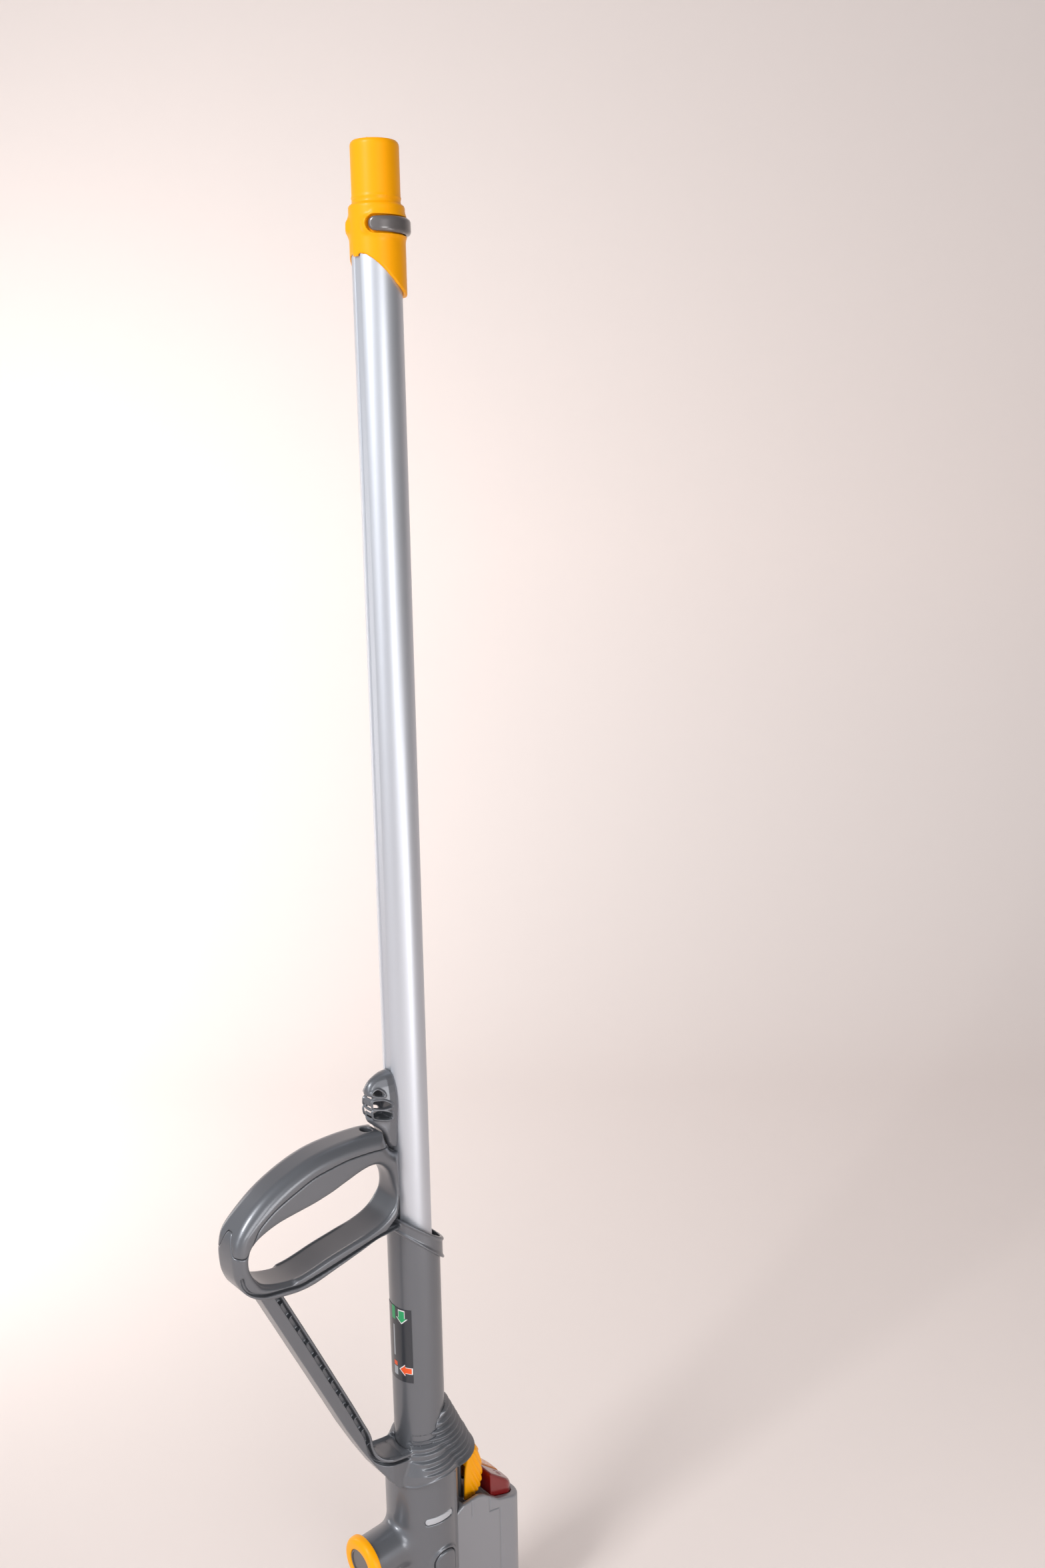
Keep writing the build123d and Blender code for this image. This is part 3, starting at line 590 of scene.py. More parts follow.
# groove along the lower bar on both flanks
FLANK_GROOVE = [
    (-171.1, 494.6), (-170.1, 489.3), (-167.9, 483.8), (-163.3, 478.9), (-153.5, 473.8),
    (-145.5, 471.8), (-133.2, 469.6), (-121.8, 467.6), (-112.2, 468.0), (-90.0, 470.8),
    (-65.0, 474.6), (-47.0, 477.4), (-37.0, 478.4), (-20.0, 478.6)]
ROOT_POCKET = [(-36.0, 480.0), (-26.0, 487.0), (-20.5, 498.0), (-17.2, 503.0),
               (-17.2, 477.0), (-28.0, 478.6)]
CATCH_OUTLINE = [
    (-15.0, 612.4), (-19.0, 612.5), (-24.5, 612.0), (-31.0, 610.6), (-36.6, 607.8),
    (-40.0, 603.6), (-40.9, 598.3), (-39.4, 592.0), (-40.2, 587.0), (-38.8, 582.4),
    (-39.8, 577.6), (-38.6, 573.0), (-36.4, 570.2), (-30.8, 564.6), (-27.6, 558.6),
    (-26.0, 552.4), (-24.0, 548.4), (-21.0, 545.0), (-18.0, 543.4), (-15.0, 543.0)]
CATCH_WINDOWS = [
    [(-38.6, 598.4), (-36.4, 601.2), (-32.8, 602.0), (-28.6, 598.6), (-28.0, 595.0),
     (-33.0, 595.4)],
    [(-39.0, 590.4), (-38.2, 593.0), (-33.5, 592.9), (-27.6, 591.2), (-22.0, 586.6),
     (-21.8, 584.2), (-27.0, 583.6), (-33.0, 584.8), (-38.4, 586.8)],
    [(-39.2, 582.0), (-38.6, 584.6), (-33.5, 584.4), (-27.0, 582.0), (-22.0, 578.6),
     (-21.6, 573.8), (-27.0, 573.6), (-32.5, 575.2), (-38.0, 577.8)]]
# (z, half width in y)
CATCH_HALF = [
    (540.0, 0.5), (543.4, 3.8), (545.0, 6.8), (547.6, 8.5), (552.0, 9.2), (566.0, 9.3),
    (575.0, 9.9), (582.0, 10.5), (589.0, 10.4), (596.6, 9.7), (602.6, 8.6), (608.0, 7.0),
    (611.0, 5.6), (612.8, 3.8), (614.0, 1.0)]
CATCH_FLANK = 0.92              # scales y distance on the sloping flanks of the catch
CATCH_PIVOT = (-23.0, 553.6)    # x, z
LOOP_HALF = 16.2                # half width of the loop in y
WELL_X = -42.0                  # round well in the cover, and its bore into the frame
BAND_R = 24.9                   # handle band round the outer tube
BEAD_R = 25.0                   # centre of the band's edge beads

catch_line = closed_curve(CATCH_OUTLINE, 5)
window_lines = [closed_curve(points, 5) for points in CATCH_WINDOWS]
loop_line = np.vstack([open_curve(LOOP_OUTSIDE), LOOP_ROOT])
hole_line = closed_curve(LOOP_HOLE)
groove_line = open_curve(FLANK_GROOVE, 6)
# regions above the seam, closed far outside the loop
above_flank_seam = np.vstack([open_curve(SEAM_FLANK),
                              [(-260.0, 518.0), (-260.0, 700.0), (-10.0, 700.0)]])
above_middle_seam = np.vstack([open_curve(SEAM_MIDDLE),
                               [(-260.0, 529.0), (-260.0, 700.0), (-10.0, 700.0)]])


def loop_solid(x, y, z):
    """Whole handle loop, before the seam splits it into frame and cover."""
    side = np.abs(y)
    # edges are rounder along the top bar and at the -x end
    high = ease(500, 545, z)
    far_end = ease(-120, -165, x) * ease(470, 490, z)
    edge = 1.6 + 8.4 * np.maximum(high, far_end * 0.7)
    shape = rounded(region(loop_line, x, z), side - LOOP_HALF, edge)
    # the hole's lower edge steps near the flanks
    step = ((0.9 - 2.4 * ease(-123.5, -128.5, x)) * ease(-52, -70, x)
            * ease(-166, -154, x) * ease(500, 488, z) * ease(12.2, 13.2, side))
    blend = 3.5 + 8.5 * ease(-85, -35, x) * ease(495, 520, z)
    shape = cut_soft(shape, region(hole_line, x, z) + step, blend)
    # bevel of the flanks next to the wand
    bevel = ((x + 24.0) * 7.6 + (side - LOOP_HALF) * 8.2) / 11.18
    return meet_soft(shape, bevel, 1.5)


def seam_field(x, y, z):
    """Negative above the seam, which changes course from the middle to the flanks."""
    to_flank = ease(2.0, 11.0, np.abs(y))
    return (region(above_flank_seam, x, z) * to_flank
            + region(above_middle_seam, x, z) * (1 - to_flank))


def handle_field(x, y, z):
    side = np.abs(y)
    shape = loop_solid(x, y, z)
    groove = meet_soft(trace(groove_line, x, z) - 1.15, 12.2 - side, 0.5)
    shape = cut_soft(shape, groove, 0.6)
    pocket = meet_soft(region(ROOT_POCKET, x, z), 5.0 - side, 0.8)
    shape = cut_soft(shape, pocket, 0.8)
    shape = cut_soft(shape, seam_field(x, y, z) - 0.2, 0.35)

    # slanted band round the outer tube, with a bead along each end
    radius = radius_from(x, y, BODY_X)
    over_lip = above_slant(x, z, LIP_Z, LIP_SLOPE)
    under_low = -above_slant(x, z, LOW_Z, LOW_SLOPE)
    band = meet_soft(radius - BAND_R, np.maximum(over_lip, under_low), 0.8)
    band = cut_soft(band, radius - TUBE_FIT_R, 0.5)
    lip_bead = np.hypot(radius - BEAD_R, over_lip + 1.1) - 1.15
    low_bead = np.hypot(radius - BEAD_R, under_low + 1.1) - 1.15
    beads = meet_soft(np.minimum(lip_bead, low_bead), 22.6 - radius, 0.4)
    band = join_soft(band, beads, 0.9)
    shape = join_soft(shape, band, 1.6)

    # room for the wand, for the outer tube below the lip, and just above it
    shape = cut_soft(shape, radius_from(x, y) - 18.12, 0.4)
    shape = cut_where(over_lip < -3.0, shape, radius - TUBE_FIT_R)
    shape = cut_where((over_lip > -3.5) & (x > -6), shape, radius_from(x, y, 2.0) - 21.2)
    return cut(shape, meet_soft(radius_from(x, y, WELL_X) - 2.0, 541.0 - z, 0.2))


def turned(line, degrees):
    """An (x, z) line turned about the catch's pivot."""
    pivot_x, pivot_z = CATCH_PIVOT
    cos, sin = math.cos(math.radians(degrees)), math.sin(math.radians(degrees))
    dx, dz = line[:, 0] - pivot_x, line[:, 1] - pivot_z
    return np.stack([pivot_x + dx * cos - dz * sin, pivot_z + dz * cos + dx * sin], 1)


def cover_field(x, y, z):
    shape = meet_soft(loop_solid(x, y, z), seam_field(x, y, z) + 0.2, 0.35)
    shape = cut_soft(shape, radius_from(x, y) - 18.12, 0.4)
    # clearance for the catch through its swing
    flank = (np.abs(y) - lookup(CATCH_HALF, z)) * CATCH_FLANK
    for degrees in (0.0, 1.8, 3.6):
        swept = region(turned(catch_line, degrees), x, z)
        shape = cut_soft(shape, rounded(swept - 0.4, flank - 0.4, 3.2), 0.3)
    well_radius = radius_from(x, y, WELL_X)
    shape = cut_soft(shape, np.maximum(well_radius - 4.9, 558.8 - z), 1.1)
    return cut(shape, well_radius - 2.1)


def catch_field(x, y, z):
    side = np.abs(y)
    outline = region(catch_line, x, z)
    # narrower towards -x in the upper part
    taper = np.clip((-24.0 - x) * 0.27, 0, 5.0)
    flank = (side - (lookup(CATCH_HALF, z) - taper * ease(560, 572, z))) * CATCH_FLANK
    shape = rounded(outline, flank, 3.4)
    hollow = rounded(outline + 2.2, flank + 2.2, 1.4)
    for limit in (571.5 - z, z - 607.0, x + 20.0):
        hollow = meet_soft(hollow, limit, 0.6)
    shape = cut_soft(shape, hollow, 0.6)

    # openings through both flanks, each with a raised rim
    windows = [region(line, x, z) for line in window_lines]
    for window in windows:
        shape = join_soft(shape, np.hypot(window + 0.1, flank + 0.2) - 1.05, 0.8)
    for window in windows:
        shape = cut_soft(shape, window + 0.7, 0.6)
    # flutes across the -x face
    for flute_z in (594.8, 586.4, 577.6):
        flute = np.hypot(z - flute_z - 0.22 * (x + 39.0), 0.55 * (x + 42.0)) - 2.3
        shape = cut_soft(shape, meet_soft(flute, side - 5.4, 1.0), 1.0)

    # fit round the wand, spring slot and pivot hole
    shape = cut_soft(shape, radius_from(x, y) - 18.14, 0.4)
    shape = cut_where(z < 558, shape, radius_from(x, y) - 19.3)
    shape = cut(shape, meet(side - 3.3, z - 558.6, -(x + 26.6)))
    pivot_x, pivot_z = CATCH_PIVOT
    shape = cut(shape, np.maximum(np.hypot(x - pivot_x, z - pivot_z) - 1.65, side - 8.2))
    # lug that stands into the wand's groove
    lug = meet(slab(x, -18.0, 0.95), side - 3.3, slab(z, 590.0, 4.0))
    return np.minimum(shape, lug)


field_piece("grip_cover_skin", cover_field, (-182, -18, 508), (-10, 18, 575), cell=0.62,
            body="handle", node="grip_cover")
field_piece("handle_frame_skin", handle_field, (-182, -28, 425), (32, 28, 562), cell=0.72,
            body="handle", node="handle_frame")
field_piece("wand_catch_skin", catch_field, (-44, -13, 540), (-12, 13, 616), cell=0.36,
            body="catch", node="wand_catch", relax=1)

# ------------------------------------------------------------------ tool cuff and its button
CUFF_X = 1.4            # axis of the cuff
SPIGOT_R = 17.5
BARREL_R = 20.3
RELEASE_Z = 1260.4      # centre of the release button
RELEASE_SWEEP = 131.6   # degrees from +x where the button's round ends start
# (x, z) of the barrel's lower edge
BARREL_EDGE = [(-30.0, 1241.8), (-19.0, 1241.2), (-16.4, 1240.0), (-13.0, 1236.9),
               (-8.0, 1231.8), (-1.7, 1225.6), (5.0, 1219.8), (12.0, 1215.6),
               (18.0, 1213.4), (23.0, 1212.8)]


def release_plan(x, y, z, per_degree, half):
    """Wrapped band of the release button; per_degree is arc length, half is in z."""
    angle = np.abs(angle_about(x, y, CUFF_X))
    end = np.maximum(angle - RELEASE_SWEEP, 0) * per_degree
    return np.hypot(end, z - RELEASE_Z) - half


def cuff_field(x, y, z):
    radius = radius_from(x, y, CUFF_X)
    angle = np.abs(angle_about(x, y, CUFF_X))
    spigot = np.maximum(rounded(radius - SPIGOT_R, z - 1318.2, 4.2), 1262.0 - z)
    barrel = rounded(radius - BARREL_R, z - 1275.2, 2.4)
    barrel = meet_soft(barrel, (lookup(BARREL_EDGE, x) - z) / 1.28, 1.0)
    shape = join_soft(spigot, barrel, 1.6)
    # fine bead round the spigot
    shape = join_soft(shape, np.hypot(radius - 17.45, z - 1279.6) - 0.5, 0.8)

    # boss round the button, ending in a rounded nose on each side
    arc = np.maximum(angle - 146.0, 0) * 0.355
    track = np.hypot(arc, np.maximum(slab(z, 1260.0, 1.0), 0))
    nose = np.hypot(track * 0.8, radius - 18.6) - 4.5
    belly = np.hypot(np.maximum(slab(z, RELEASE_Z, 3.4), 0) * 0.62, (radius - 18.6)) - 3.3
    to_nose = ease(134.0, 147.0, angle)
    boss = nose * to_nose + belly * (1 - to_nose)
    shape = join_soft(shape, np.maximum(boss, 18.1 - radius), 1.8)

    # bore: stepped narrower upwards, wide enough for the wand below
    shape = cut_where(z > 1252.0, shape, radius - 15.2)
    shape = cut_where(z > 1308.0, shape, radius - 13.4)
    wand_room = np.where(z < 1250.0, 18.03 - radius_from(x, y), NO_CUT)
    shape = meet_soft(shape, wand_room, 0.25)
    pocket = release_plan(x, y, z, per_degree=0.36, half=6.25)
    shape = cut_soft(shape, np.maximum(pocket, 18.2 - radius), 0.4)
    tongue = meet(slab(x, -18.2, 0.9), np.abs(y) - 2.6, slab(z, 1244.0, 4.8))
    return np.minimum(shape, tongue)


def release_field(x, y, z):
    plan = release_plan(x, y, z, per_degree=0.37, half=5.85)
    shape = rounded(plan, radius_from(x, y, 3.0) - 23.0, 3.2)
    shape = cut(shape, radius_from(x, y, CUFF_X) - 20.5)
    tabs = meet(slab(x, 21.4, 0.85), slab(np.abs(y), 5.5, 1.5), slab(z, 1260.5, 3.0))
    return np.minimum(shape, tabs)


field_piece("tool_cuff_skin", cuff_field, (-26, -26, 1208), (27, 26, 1320), cell=0.62,
            body="wand", node="tool_cuff", slot="yellow_plastic")
field_piece("tool_release_skin", release_field, (-18, -27, 1252), (28, 27, 1269), cell=0.45,
            body="tool_key", node="tool_release_button", slot="warm_grey_plastic")

# ------------------------------------------------------------------ lower cuff and brace strut
# (x, z) of the strut's upper rim, and of the run below that closes the outline
STRUT_RIM = [
    (-134.2, 463.4), (-106.5, 403.7), (-79.3, 344.1), (-70.8, 325.4), (-63.3, 308.0),
    (-57.6, 295.0), (-55.2, 286.6), (-54.2, 278.7), (-51.4, 270.2), (-48.0, 265.4),
    (-44.0, 262.8), (-39.2, 261.0), (-33.1, 259.3), (-26.0, 257.8), (-19.8, 257.2),
    (-12.0, 257.0)]
STRUT_UNDER = [
    (-12.0, 228.0), (-33.0, 228.0), (-42.0, 240.4), (-49.0, 250.6), (-55.7, 262.1),
    (-61.8, 272.9), (-67.6, 283.7), (-80.0, 308.0), (-92.5, 335.3), (-154.0, 468.0),
    (-141.0, 470.0)]
# (x, half width in y)
STRUT_HALF = [(-66.0, 9.0), (-58.0, 9.2), (-54.0, 9.8), (-51.0, 11.2), (-48.0, 13.0),
              (-44.0, 15.0), (-39.0, 16.2), (-20.0, 16.6)]
# (z, radius) of the cuff's skirt
SKIRT = [(200.0, 34.8), (232.0, 34.8), (237.0, 34.0), (241.5, 32.3), (247.0, 30.3),
         (254.0, 27.4), (258.8, 25.4), (261.4, 22.4), (300.0, 20.0)]
# (z, degrees from +x where the skirt's ribs end)
RIB_END = [(230.0, 112.0), (237.0, 126.0), (241.0, 124.0), (247.0, 138.0), (253.0, 175.0),
           (260.0, 178.0)]
# (degrees from +x, z) of the cuff's lower edge
CUFF_EDGE = [(0, 226.8), (47, 228.9), (69, 229.8), (100, 231.0), (118, 229.2), (136, 226.6),
             (160, 226.0), (180, 224.8)]
# (x, z) floor of the dish where strut and cuff meet
DISH_FLOOR = [(-51.0, 268.8), (-48.0, 263.2), (-44.0, 260.7), (-39.2, 258.9), (-33.0, 257.3),
              (-26.0, 255.8), (-20.0, 255.3)]
# z of each rib's crest
RIB_CRESTS = np.array([229.5, 236.6, 241.4, 247.2, 253.8, 258.6, 263.9, 270.3, 277.2, 284.4,
                       291.6], np.float32)
WEB_PITCH = 17.0

rim_line = open_curve(STRUT_RIM, 6)
strut_line = np.vstack([rim_line, STRUT_UNDER])

# sawtooth relief of the ribs: proud at each crest, sunk just above it
rib_z, rib_relief = [], []
for crest, following in zip(RIB_CRESTS[:-1], RIB_CRESTS[1:]):
    gap = float(following - crest)
    depth = min(1.0, gap / 6.8)
    rib_z += [float(crest), float(crest) + 0.22 * gap]
    rib_relief += [1.25 * depth, -1.5 * depth]
rib_z.append(float(RIB_CRESTS[-1]))
rib_relief.append(0.6)


def strut_part(x, y, z):
    """Strut with a channel sunk in each flank; also its outline, rim distance and width."""
    outline = region(strut_line, x, z)
    from_rim = trace(rim_line, x, z)
    side = np.abs(y)
    half = lookup(STRUT_HALF, x)
    shape = rounded(outline, side - half, 1.1)
    channel = meet(slab(from_rim, 4.4, 2.0) + 0.5 * ease(-56, -52, x), half - 6.0 - side,
                   x + 19.5)
    channel = meet_soft(channel, outline + 2.2, 0.4)
    return cut_soft(shape, channel, 0.45), outline, from_rim, half


def strut_field(x, y, z):
    shape, outline, from_rim, half = strut_part(x, y, z)
    # webs across the channel at an even pitch along the strut
    run = (z * 0.91 - x * 0.41) / WEB_PITCH
    webs = np.abs((run % 1.0) - 0.5) * WEB_PITCH - 0.45
    webs = meet(webs, slab(from_rim, 4.2, 2.0), np.abs(y) - half + 1.4, outline)
    shape = np.minimum(shape, webs)
    shape = cut(shape, region(loop_line, x, z) + 0.3)
    return np.maximum(shape, 273.0 - z)


def lower_cuff_field(x, y, z):
    radius = radius_from(x, y, BODY_X)
    angle = np.abs(angle_about(x, y, BODY_X))
    side = np.abs(y)
    relief = np.interp(z, rib_z, rib_relief, left=0.0, right=0.0).astype(np.float32)

    # leaning cone, round at +x below and closing on the tube above
    rise = (z - 222.0) / 70.0
    centre = 26.0 + (BODY_X - 26.0) * rise
    cone_radius = 32.0 + (22.4 - 32.0) * rise
    slant = (z - (275.0 + 1.08 * x)) / 1.47
    ribbed = ease(0.0, -5.0, slant)
    lean = radius_from(x, y, centre) - cone_radius - relief * 1.15 * ribbed + 1.4 * (1 - ribbed)
    lean = np.maximum(lean, z - 293.5)

    # skirt about the tube's axis; its ribs fade out towards -x
    fade = ease(0.0, 16.0, lookup(RIB_END, z) - angle) * ease(232.5, 235.5, z)
    skirt = radius - lookup(SKIRT, z) - relief * 0.95 * fade
    shape = join_soft(skirt * 0.93, lean * 0.93, 1.2)

    # root of the strut, with the dish sunk into it
    root = strut_part(x, y, z)[0]
    half = lookup(STRUT_HALF, x)
    dish = meet_soft(lookup(DISH_FLOOR, x) - z, side - (half - 2.4), 1.6)
    dish = meet_soft(dish, x + 18.0, 1.5)
    dish = meet_soft(dish, -(x + 52.0), 1.5)
    shape = join_soft(shape, cut_soft(root, dish, 1.2), 2.2)
    shape = cut_soft(shape, dish, 1.2)

    # lower edge with a rolled bead, left out at the +x end
    edge_z = lookup(CUFF_EDGE, angle)
    shape = meet_soft(shape, edge_z - z, 0.4)
    bead = np.hypot(radius - 34.6, z - edge_z - 0.9) - 0.95
    bead = meet(bead, 32.7 - radius, np.where(x > 24.0, 5.0, NO_CUT))
    shape = join_soft(shape, bead, 0.5)

    # inside: room for the docking column, a leaning cone, then the tube
    shape = cut_where(z < 235.4, shape, radius - 32.7)
    shape = cut_where((z < 230.0) & (x < 19.8) & (x > BODY_X), shape, side - 29.7)
    inner_centre = 33.4 + (12.6 - 33.4) * (z - 200.0) / 62.0
    inner_radius = 32.4 + (23.9 - 32.4) * (z - 200.0) / 62.0
    shape = cut_where(z < 258.0, shape, radius_from(x, y, inner_centre) - inner_radius)
    shape = cut(shape, radius - 22.56)
    # the strut's root ends here
    return np.maximum(shape, z - 283.0 + np.where(x > -40.0, NO_CUT, 0.0))


field_piece("brace_strut_skin", strut_field, (-158, -11, 270), (-44, 11, 474), cell=0.7,
            body="handle", node="brace_strut")
field_piece("lower_cuff_skin", lower_cuff_field, (-75, -37, 222), (63, 37, 296), cell=0.5,
            body="handle", node="lower_cuff", relax=1)

# ------------------------------------------------------------------ docking column
COLUMN_R = 32.4
COLUMN_WALL = 3.0
LATCH_Z, LATCH_HALF = 125.75, 17.75             # centre and straight half of the latch pill
WINDOW_Z, WINDOW_ANGLE = 188.0, -98.0           # indicator window on the -y side
WINDOW_HALF = 11.2
ARC_PER_DEGREE = 0.567                          # mm round the column at the window


def latch_plan(x, y, z, radius):
    """Upright pill seen from -y, turned 2 degrees about z."""
    across = 0.99939 * (x - BODY_X) - 0.0349 * y
    return stadium(across, z - LATCH_Z, LATCH_HALF, radius)


def window_plan(x, y, z, radius):
    """Pill wrapped round the column."""
    arc = (angle_about(x, y, BODY_X) - WINDOW_ANGLE) * ARC_PER_DEGREE
    return stadium(z - WINDOW_Z, arc, WINDOW_HALF, radius)


def column_field(x, y, z):
    radius = radius_from(x, y, BODY_X)
    port_radius = np.hypot(y, z - PORT_Z)
    # round column, squared off towards +x, and the stub of the port towards -x
    square = meet(-(x - BODY_X), x - 19.5, np.abs(y) - 29.4, z - 224.0)
    shape = meet(np.minimum(radius - COLUMN_R, square), z - 234.0, 8.0 - z)
    stub = meet(port_radius - 19.5, -(x + 64.4), x)
    shape = join_soft(shape, stub, 8.0)

    # raised surround of the latch, its trough and the opening through the wall
    surround = meet_soft(radius - 34.6, latch_plan(x, y, z, 14.2), 2.6)
    shape = join_soft(shape, np.maximum(surround, y + 5.0), 1.6)
    trough = meet_soft(latch_plan(x, y, z, 11.7), 33.4 - radius, 0.8)
    shape = cut_soft(shape, np.maximum(trough, y + 5.0), 0.8)
    shape = cut(shape, meet(latch_plan(x, y, z, 11.0), 28.0 - radius, y + 5.0))
    window = meet(window_plan(x, y, z, 3.5), y + 5.0, 28.0 - radius)
    shape = cut_soft(shape, window, 0.7)

    # hollow inside
    shape = cut(shape, radius - (COLUMN_R - COLUMN_WALL))
    shape = cut(shape, meet(-(x - BODY_X), x - 16.5, np.abs(y) - 26.4, z - 221.0))
    return cut(shape, np.maximum(port_radius - 16.5, x + 17.0))


def latch_field(x, y, z):
    radius = radius_from(x, y, BODY_X)
    return cut(rounded(latch_plan(x, y, z, 10.7), radius - 35.5, 1.8), radius - 30.0)


def window_field(x, y, z):
    radius = radius_from(x, y, BODY_X)
    return cut(rounded(window_plan(x, y, z, 3.4), radius - 32.2, 1.3), radius - 30.0)


def collar_field(x, y, z):
    radius = np.hypot(y, z - PORT_Z)
    shape = rounded(-(x + 68.4), radius - 23.2, 5.2)
    shape = meet_soft(shape, x + 60.0, 1.0)
    shape = cut_soft(shape, radius - 13.7, 1.2)
    return cut_where(x > -66.0, shape, radius - 19.6)


field_piece("dock_column_skin", column_field, (-68, -37, 6), (37, 35, 236), cell=0.8,
            body="dock", node="dock_column", relax=3)
field_piece("hose_latch_skin", latch_field, (-12, -37, 94), (15, -26, 157), cell=0.5,
            body="hose_latch", node="hose_latch_button")
field_piece("indicator_skin", window_field, (-20, -35, 182), (17, -25, 194), cell=0.4,
            body="dock", node="indicator_window", slot="window_plastic")
field_piece("port_collar_skin", collar_field, (-75, -25, 135), (-58, 25, 185), cell=0.5,
            body="collar", node="port_collar", slot="yellow_plastic")

# ------------------------------------------------------------------ switch housing
HOUSING_END, HOUSING_HALF, HOUSING_CORNER = 101.0, 28.0, 15.5
HOUSING_WALL = 3.0
LEVER_PIVOT = (46.5, 186.0)     # x, z
# (x, z) of the roof, outside and inside
ROOF = [(10.0, 172.4), (19.0, 176.8), (28.0, 181.0), (46.0, 180.6), (53.0, 177.5),
        (70.0, 163.0), (84.0, 157.5), (103.0, 150.6)]
ROOF_INSIDE = [(20.0, 165.4), (57.0, 165.4), (70.0, 158.4), (84.0, 153.4), (103.0, 146.4)]
# (x, z) grooves scored on the -y flank
FLANK_SCORES = [[(37.5, 179.0), (37.5, 163.0)],
                [(58.5, 178.0), (58.5, 157.0), (71.0, 153.5), (71.0, 8.0)]]


def housing_plan(x, y, inset):
    """Outline from above, open towards -x, with rounded corners at +x."""
    half = HOUSING_HALF - inset
    end = box_plan(x, y, 0.0, HOUSING_END - inset, half, HOUSING_CORNER - inset)
    return np.where(x < 60.0, np.abs(y) - half, end)


def keys_plan(x, y, start, end, half, corner):
    """Outline of the button pair: square at start, rounded corners at end (+x)."""
    return np.maximum(box_plan(x, y, start - 20.0, end, half, corner), start - x)


def housing_field(x, y, z):
    side = np.abs(y)
    shape = rounded(housing_plan(x, y, 0.0), (z - lookup(ROOF, x)) * 0.86, 2.0)
    shape = np.maximum(shape, 8.05 - z)
    hollow = np.maximum(housing_plan(x, y, HOUSING_WALL), -(x - 27.0))
    shape = cut(shape, np.maximum(hollow, z - lookup(ROOF_INSIDE, x)))
    # pocket under the lever, and the opening for the two buttons
    lever_pocket = meet(29.5 - x, x - 61.5, side - 23.5, 168.4 - z)
    shape = cut_soft(shape, lever_pocket, 0.6)
    opening = keys_plan(x, y, 65.15, 95.85, 21.25, 11.2)
    shape = cut_soft(shape, np.maximum(opening, 140.0 - z), 1.6)
    first, second = [trace(line, x, z) for line in FLANK_SCORES]
    shape = cut(shape, np.maximum(np.minimum(first, second) - 0.5, y + 26.8))

    # pivot posts and spring seat of the lever
    pivot_x, pivot_z = LEVER_PIVOT
    posts = meet(slab(x, pivot_x, 3.9), slab(side, 11.5, 2.0), slab(z, 178.5, 11.5))
    posts = cut(posts, np.hypot(x - pivot_x, z - pivot_z) - 1.52)
    seat = meet(slab(x, 42.6, 1.4), side - 6.0, slab(z, 186.5, 19.5))
    shape = np.minimum(shape, np.minimum(posts, seat))

    # fit against the docking column
    shape = cut(shape, radius_from(x, y, BODY_X) - 32.45)
    shape = cut(shape, meet(BODY_X - x, x - 19.55, side - 29.5))
    return np.maximum(shape, 14.0 - x)


field_piece("switch_housing_skin", housing_field, (13, -30, 6), (104, 30, 208), cell=0.66,
            body="dock", node="switch_housing", slot="light_grey_plastic", relax=1)

# ------------------------------------------------------------------ push buttons and lever
ICON_X, ICON_Y = 82.5, -10.4
KEY_STRETCH = 1.34              # length along the sloping top per mm of x


def key_field(sign):
    """Field of the button on the -y (sign -1) or +y (sign 1) side."""
    def field(x, y, z):
        plan = keys_plan(x, y, 65.4, 95.6, 21.0, 11.0)
        plan = meet_soft(plan, 0.3 - sign * y, 0.8)
        top = (z - (212.0 - 0.894 * (x - 40.0))) / KEY_STRETCH
        shape = np.maximum(rounded(plan, top, 3.4), 140.0 - z)
        if sign < 0:
            # sunk icon: a ring open towards -x... crossed by a short bar at its +x side
            along = (x - ICON_X) * KEY_STRETCH
            ring = slab(np.hypot(along, y - ICON_Y), 3.6, 0.55)
            ring = cut(ring, np.maximum(along, slab(y, ICON_Y, 1.2)))
            bar = np.maximum(slab(along, 2.0, 2.2), slab(y, ICON_Y, 0.5))
            icon = np.minimum(ring, bar)
            shape = cut_soft(shape, np.maximum(icon, -(top + 0.5)), 0.2)
        stem = np.maximum(np.hypot(x - 77.8, y - sign * 9.2) - 2.0, slab(z, 135.2, 5.7))
        return np.minimum(shape, stem)
    return field


# (x, z) outlines; the inner one reaches past the lever so that it leaves it open at -x
LEVER_BACK = [(51.0, 222.0), (54.0, 224.2), (56.4, 222.6), (59.4, 214.0), (61.8, 204.0),
              (63.2, 194.0), (62.6, 184.0), (60.4, 177.0)]
LEVER_OUTER = [(38.4, 171.5), (38.8, 190.0), (40.0, 204.0), (42.6, 214.6), (47.0, 219.6),
               *LEVER_BACK, (57.0, 171.5)]
LEVER_INNER = [(28.0, 150.0), (28.0, 206.0), (40.0, 209.0), (44.0, 214.6), (48.0, 219.6),
               *LEVER_BACK, (57.0, 150.0)]


def lever_field(x, y, z):
    side = np.abs(y)
    # finger waves on the +x face
    wave = (1.2 * np.abs(np.sin((z + 2.2 * (x - 50.0)) * math.pi / 10.5))
            * ease(43.0, 50.0, x) * ease(222.0, 214.0, z))
    edge = 1.2 + 5.8 * ease(46.0, 56.0, x)
    shape = rounded(region(LEVER_OUTER, x, z) + 0.6, side - 16.4, edge) - wave
    hollow = rounded(region(LEVER_INNER, x, z) + 2.8, side - 14.2, np.maximum(edge - 2.6, 0.5))
    shape = cut(shape, hollow)
    radius = radius_from(x, y, BODY_X)
    shape = cut(shape, radius - 33.35)
    shape = cut_where(z < 187.0, shape, radius - 34.35)
    pivot_x, pivot_z = LEVER_PIVOT
    pin_hole = np.maximum(np.hypot(x - pivot_x, z - pivot_z) - 1.56, -15.0 - y)
    return cut(shape, pin_hole)


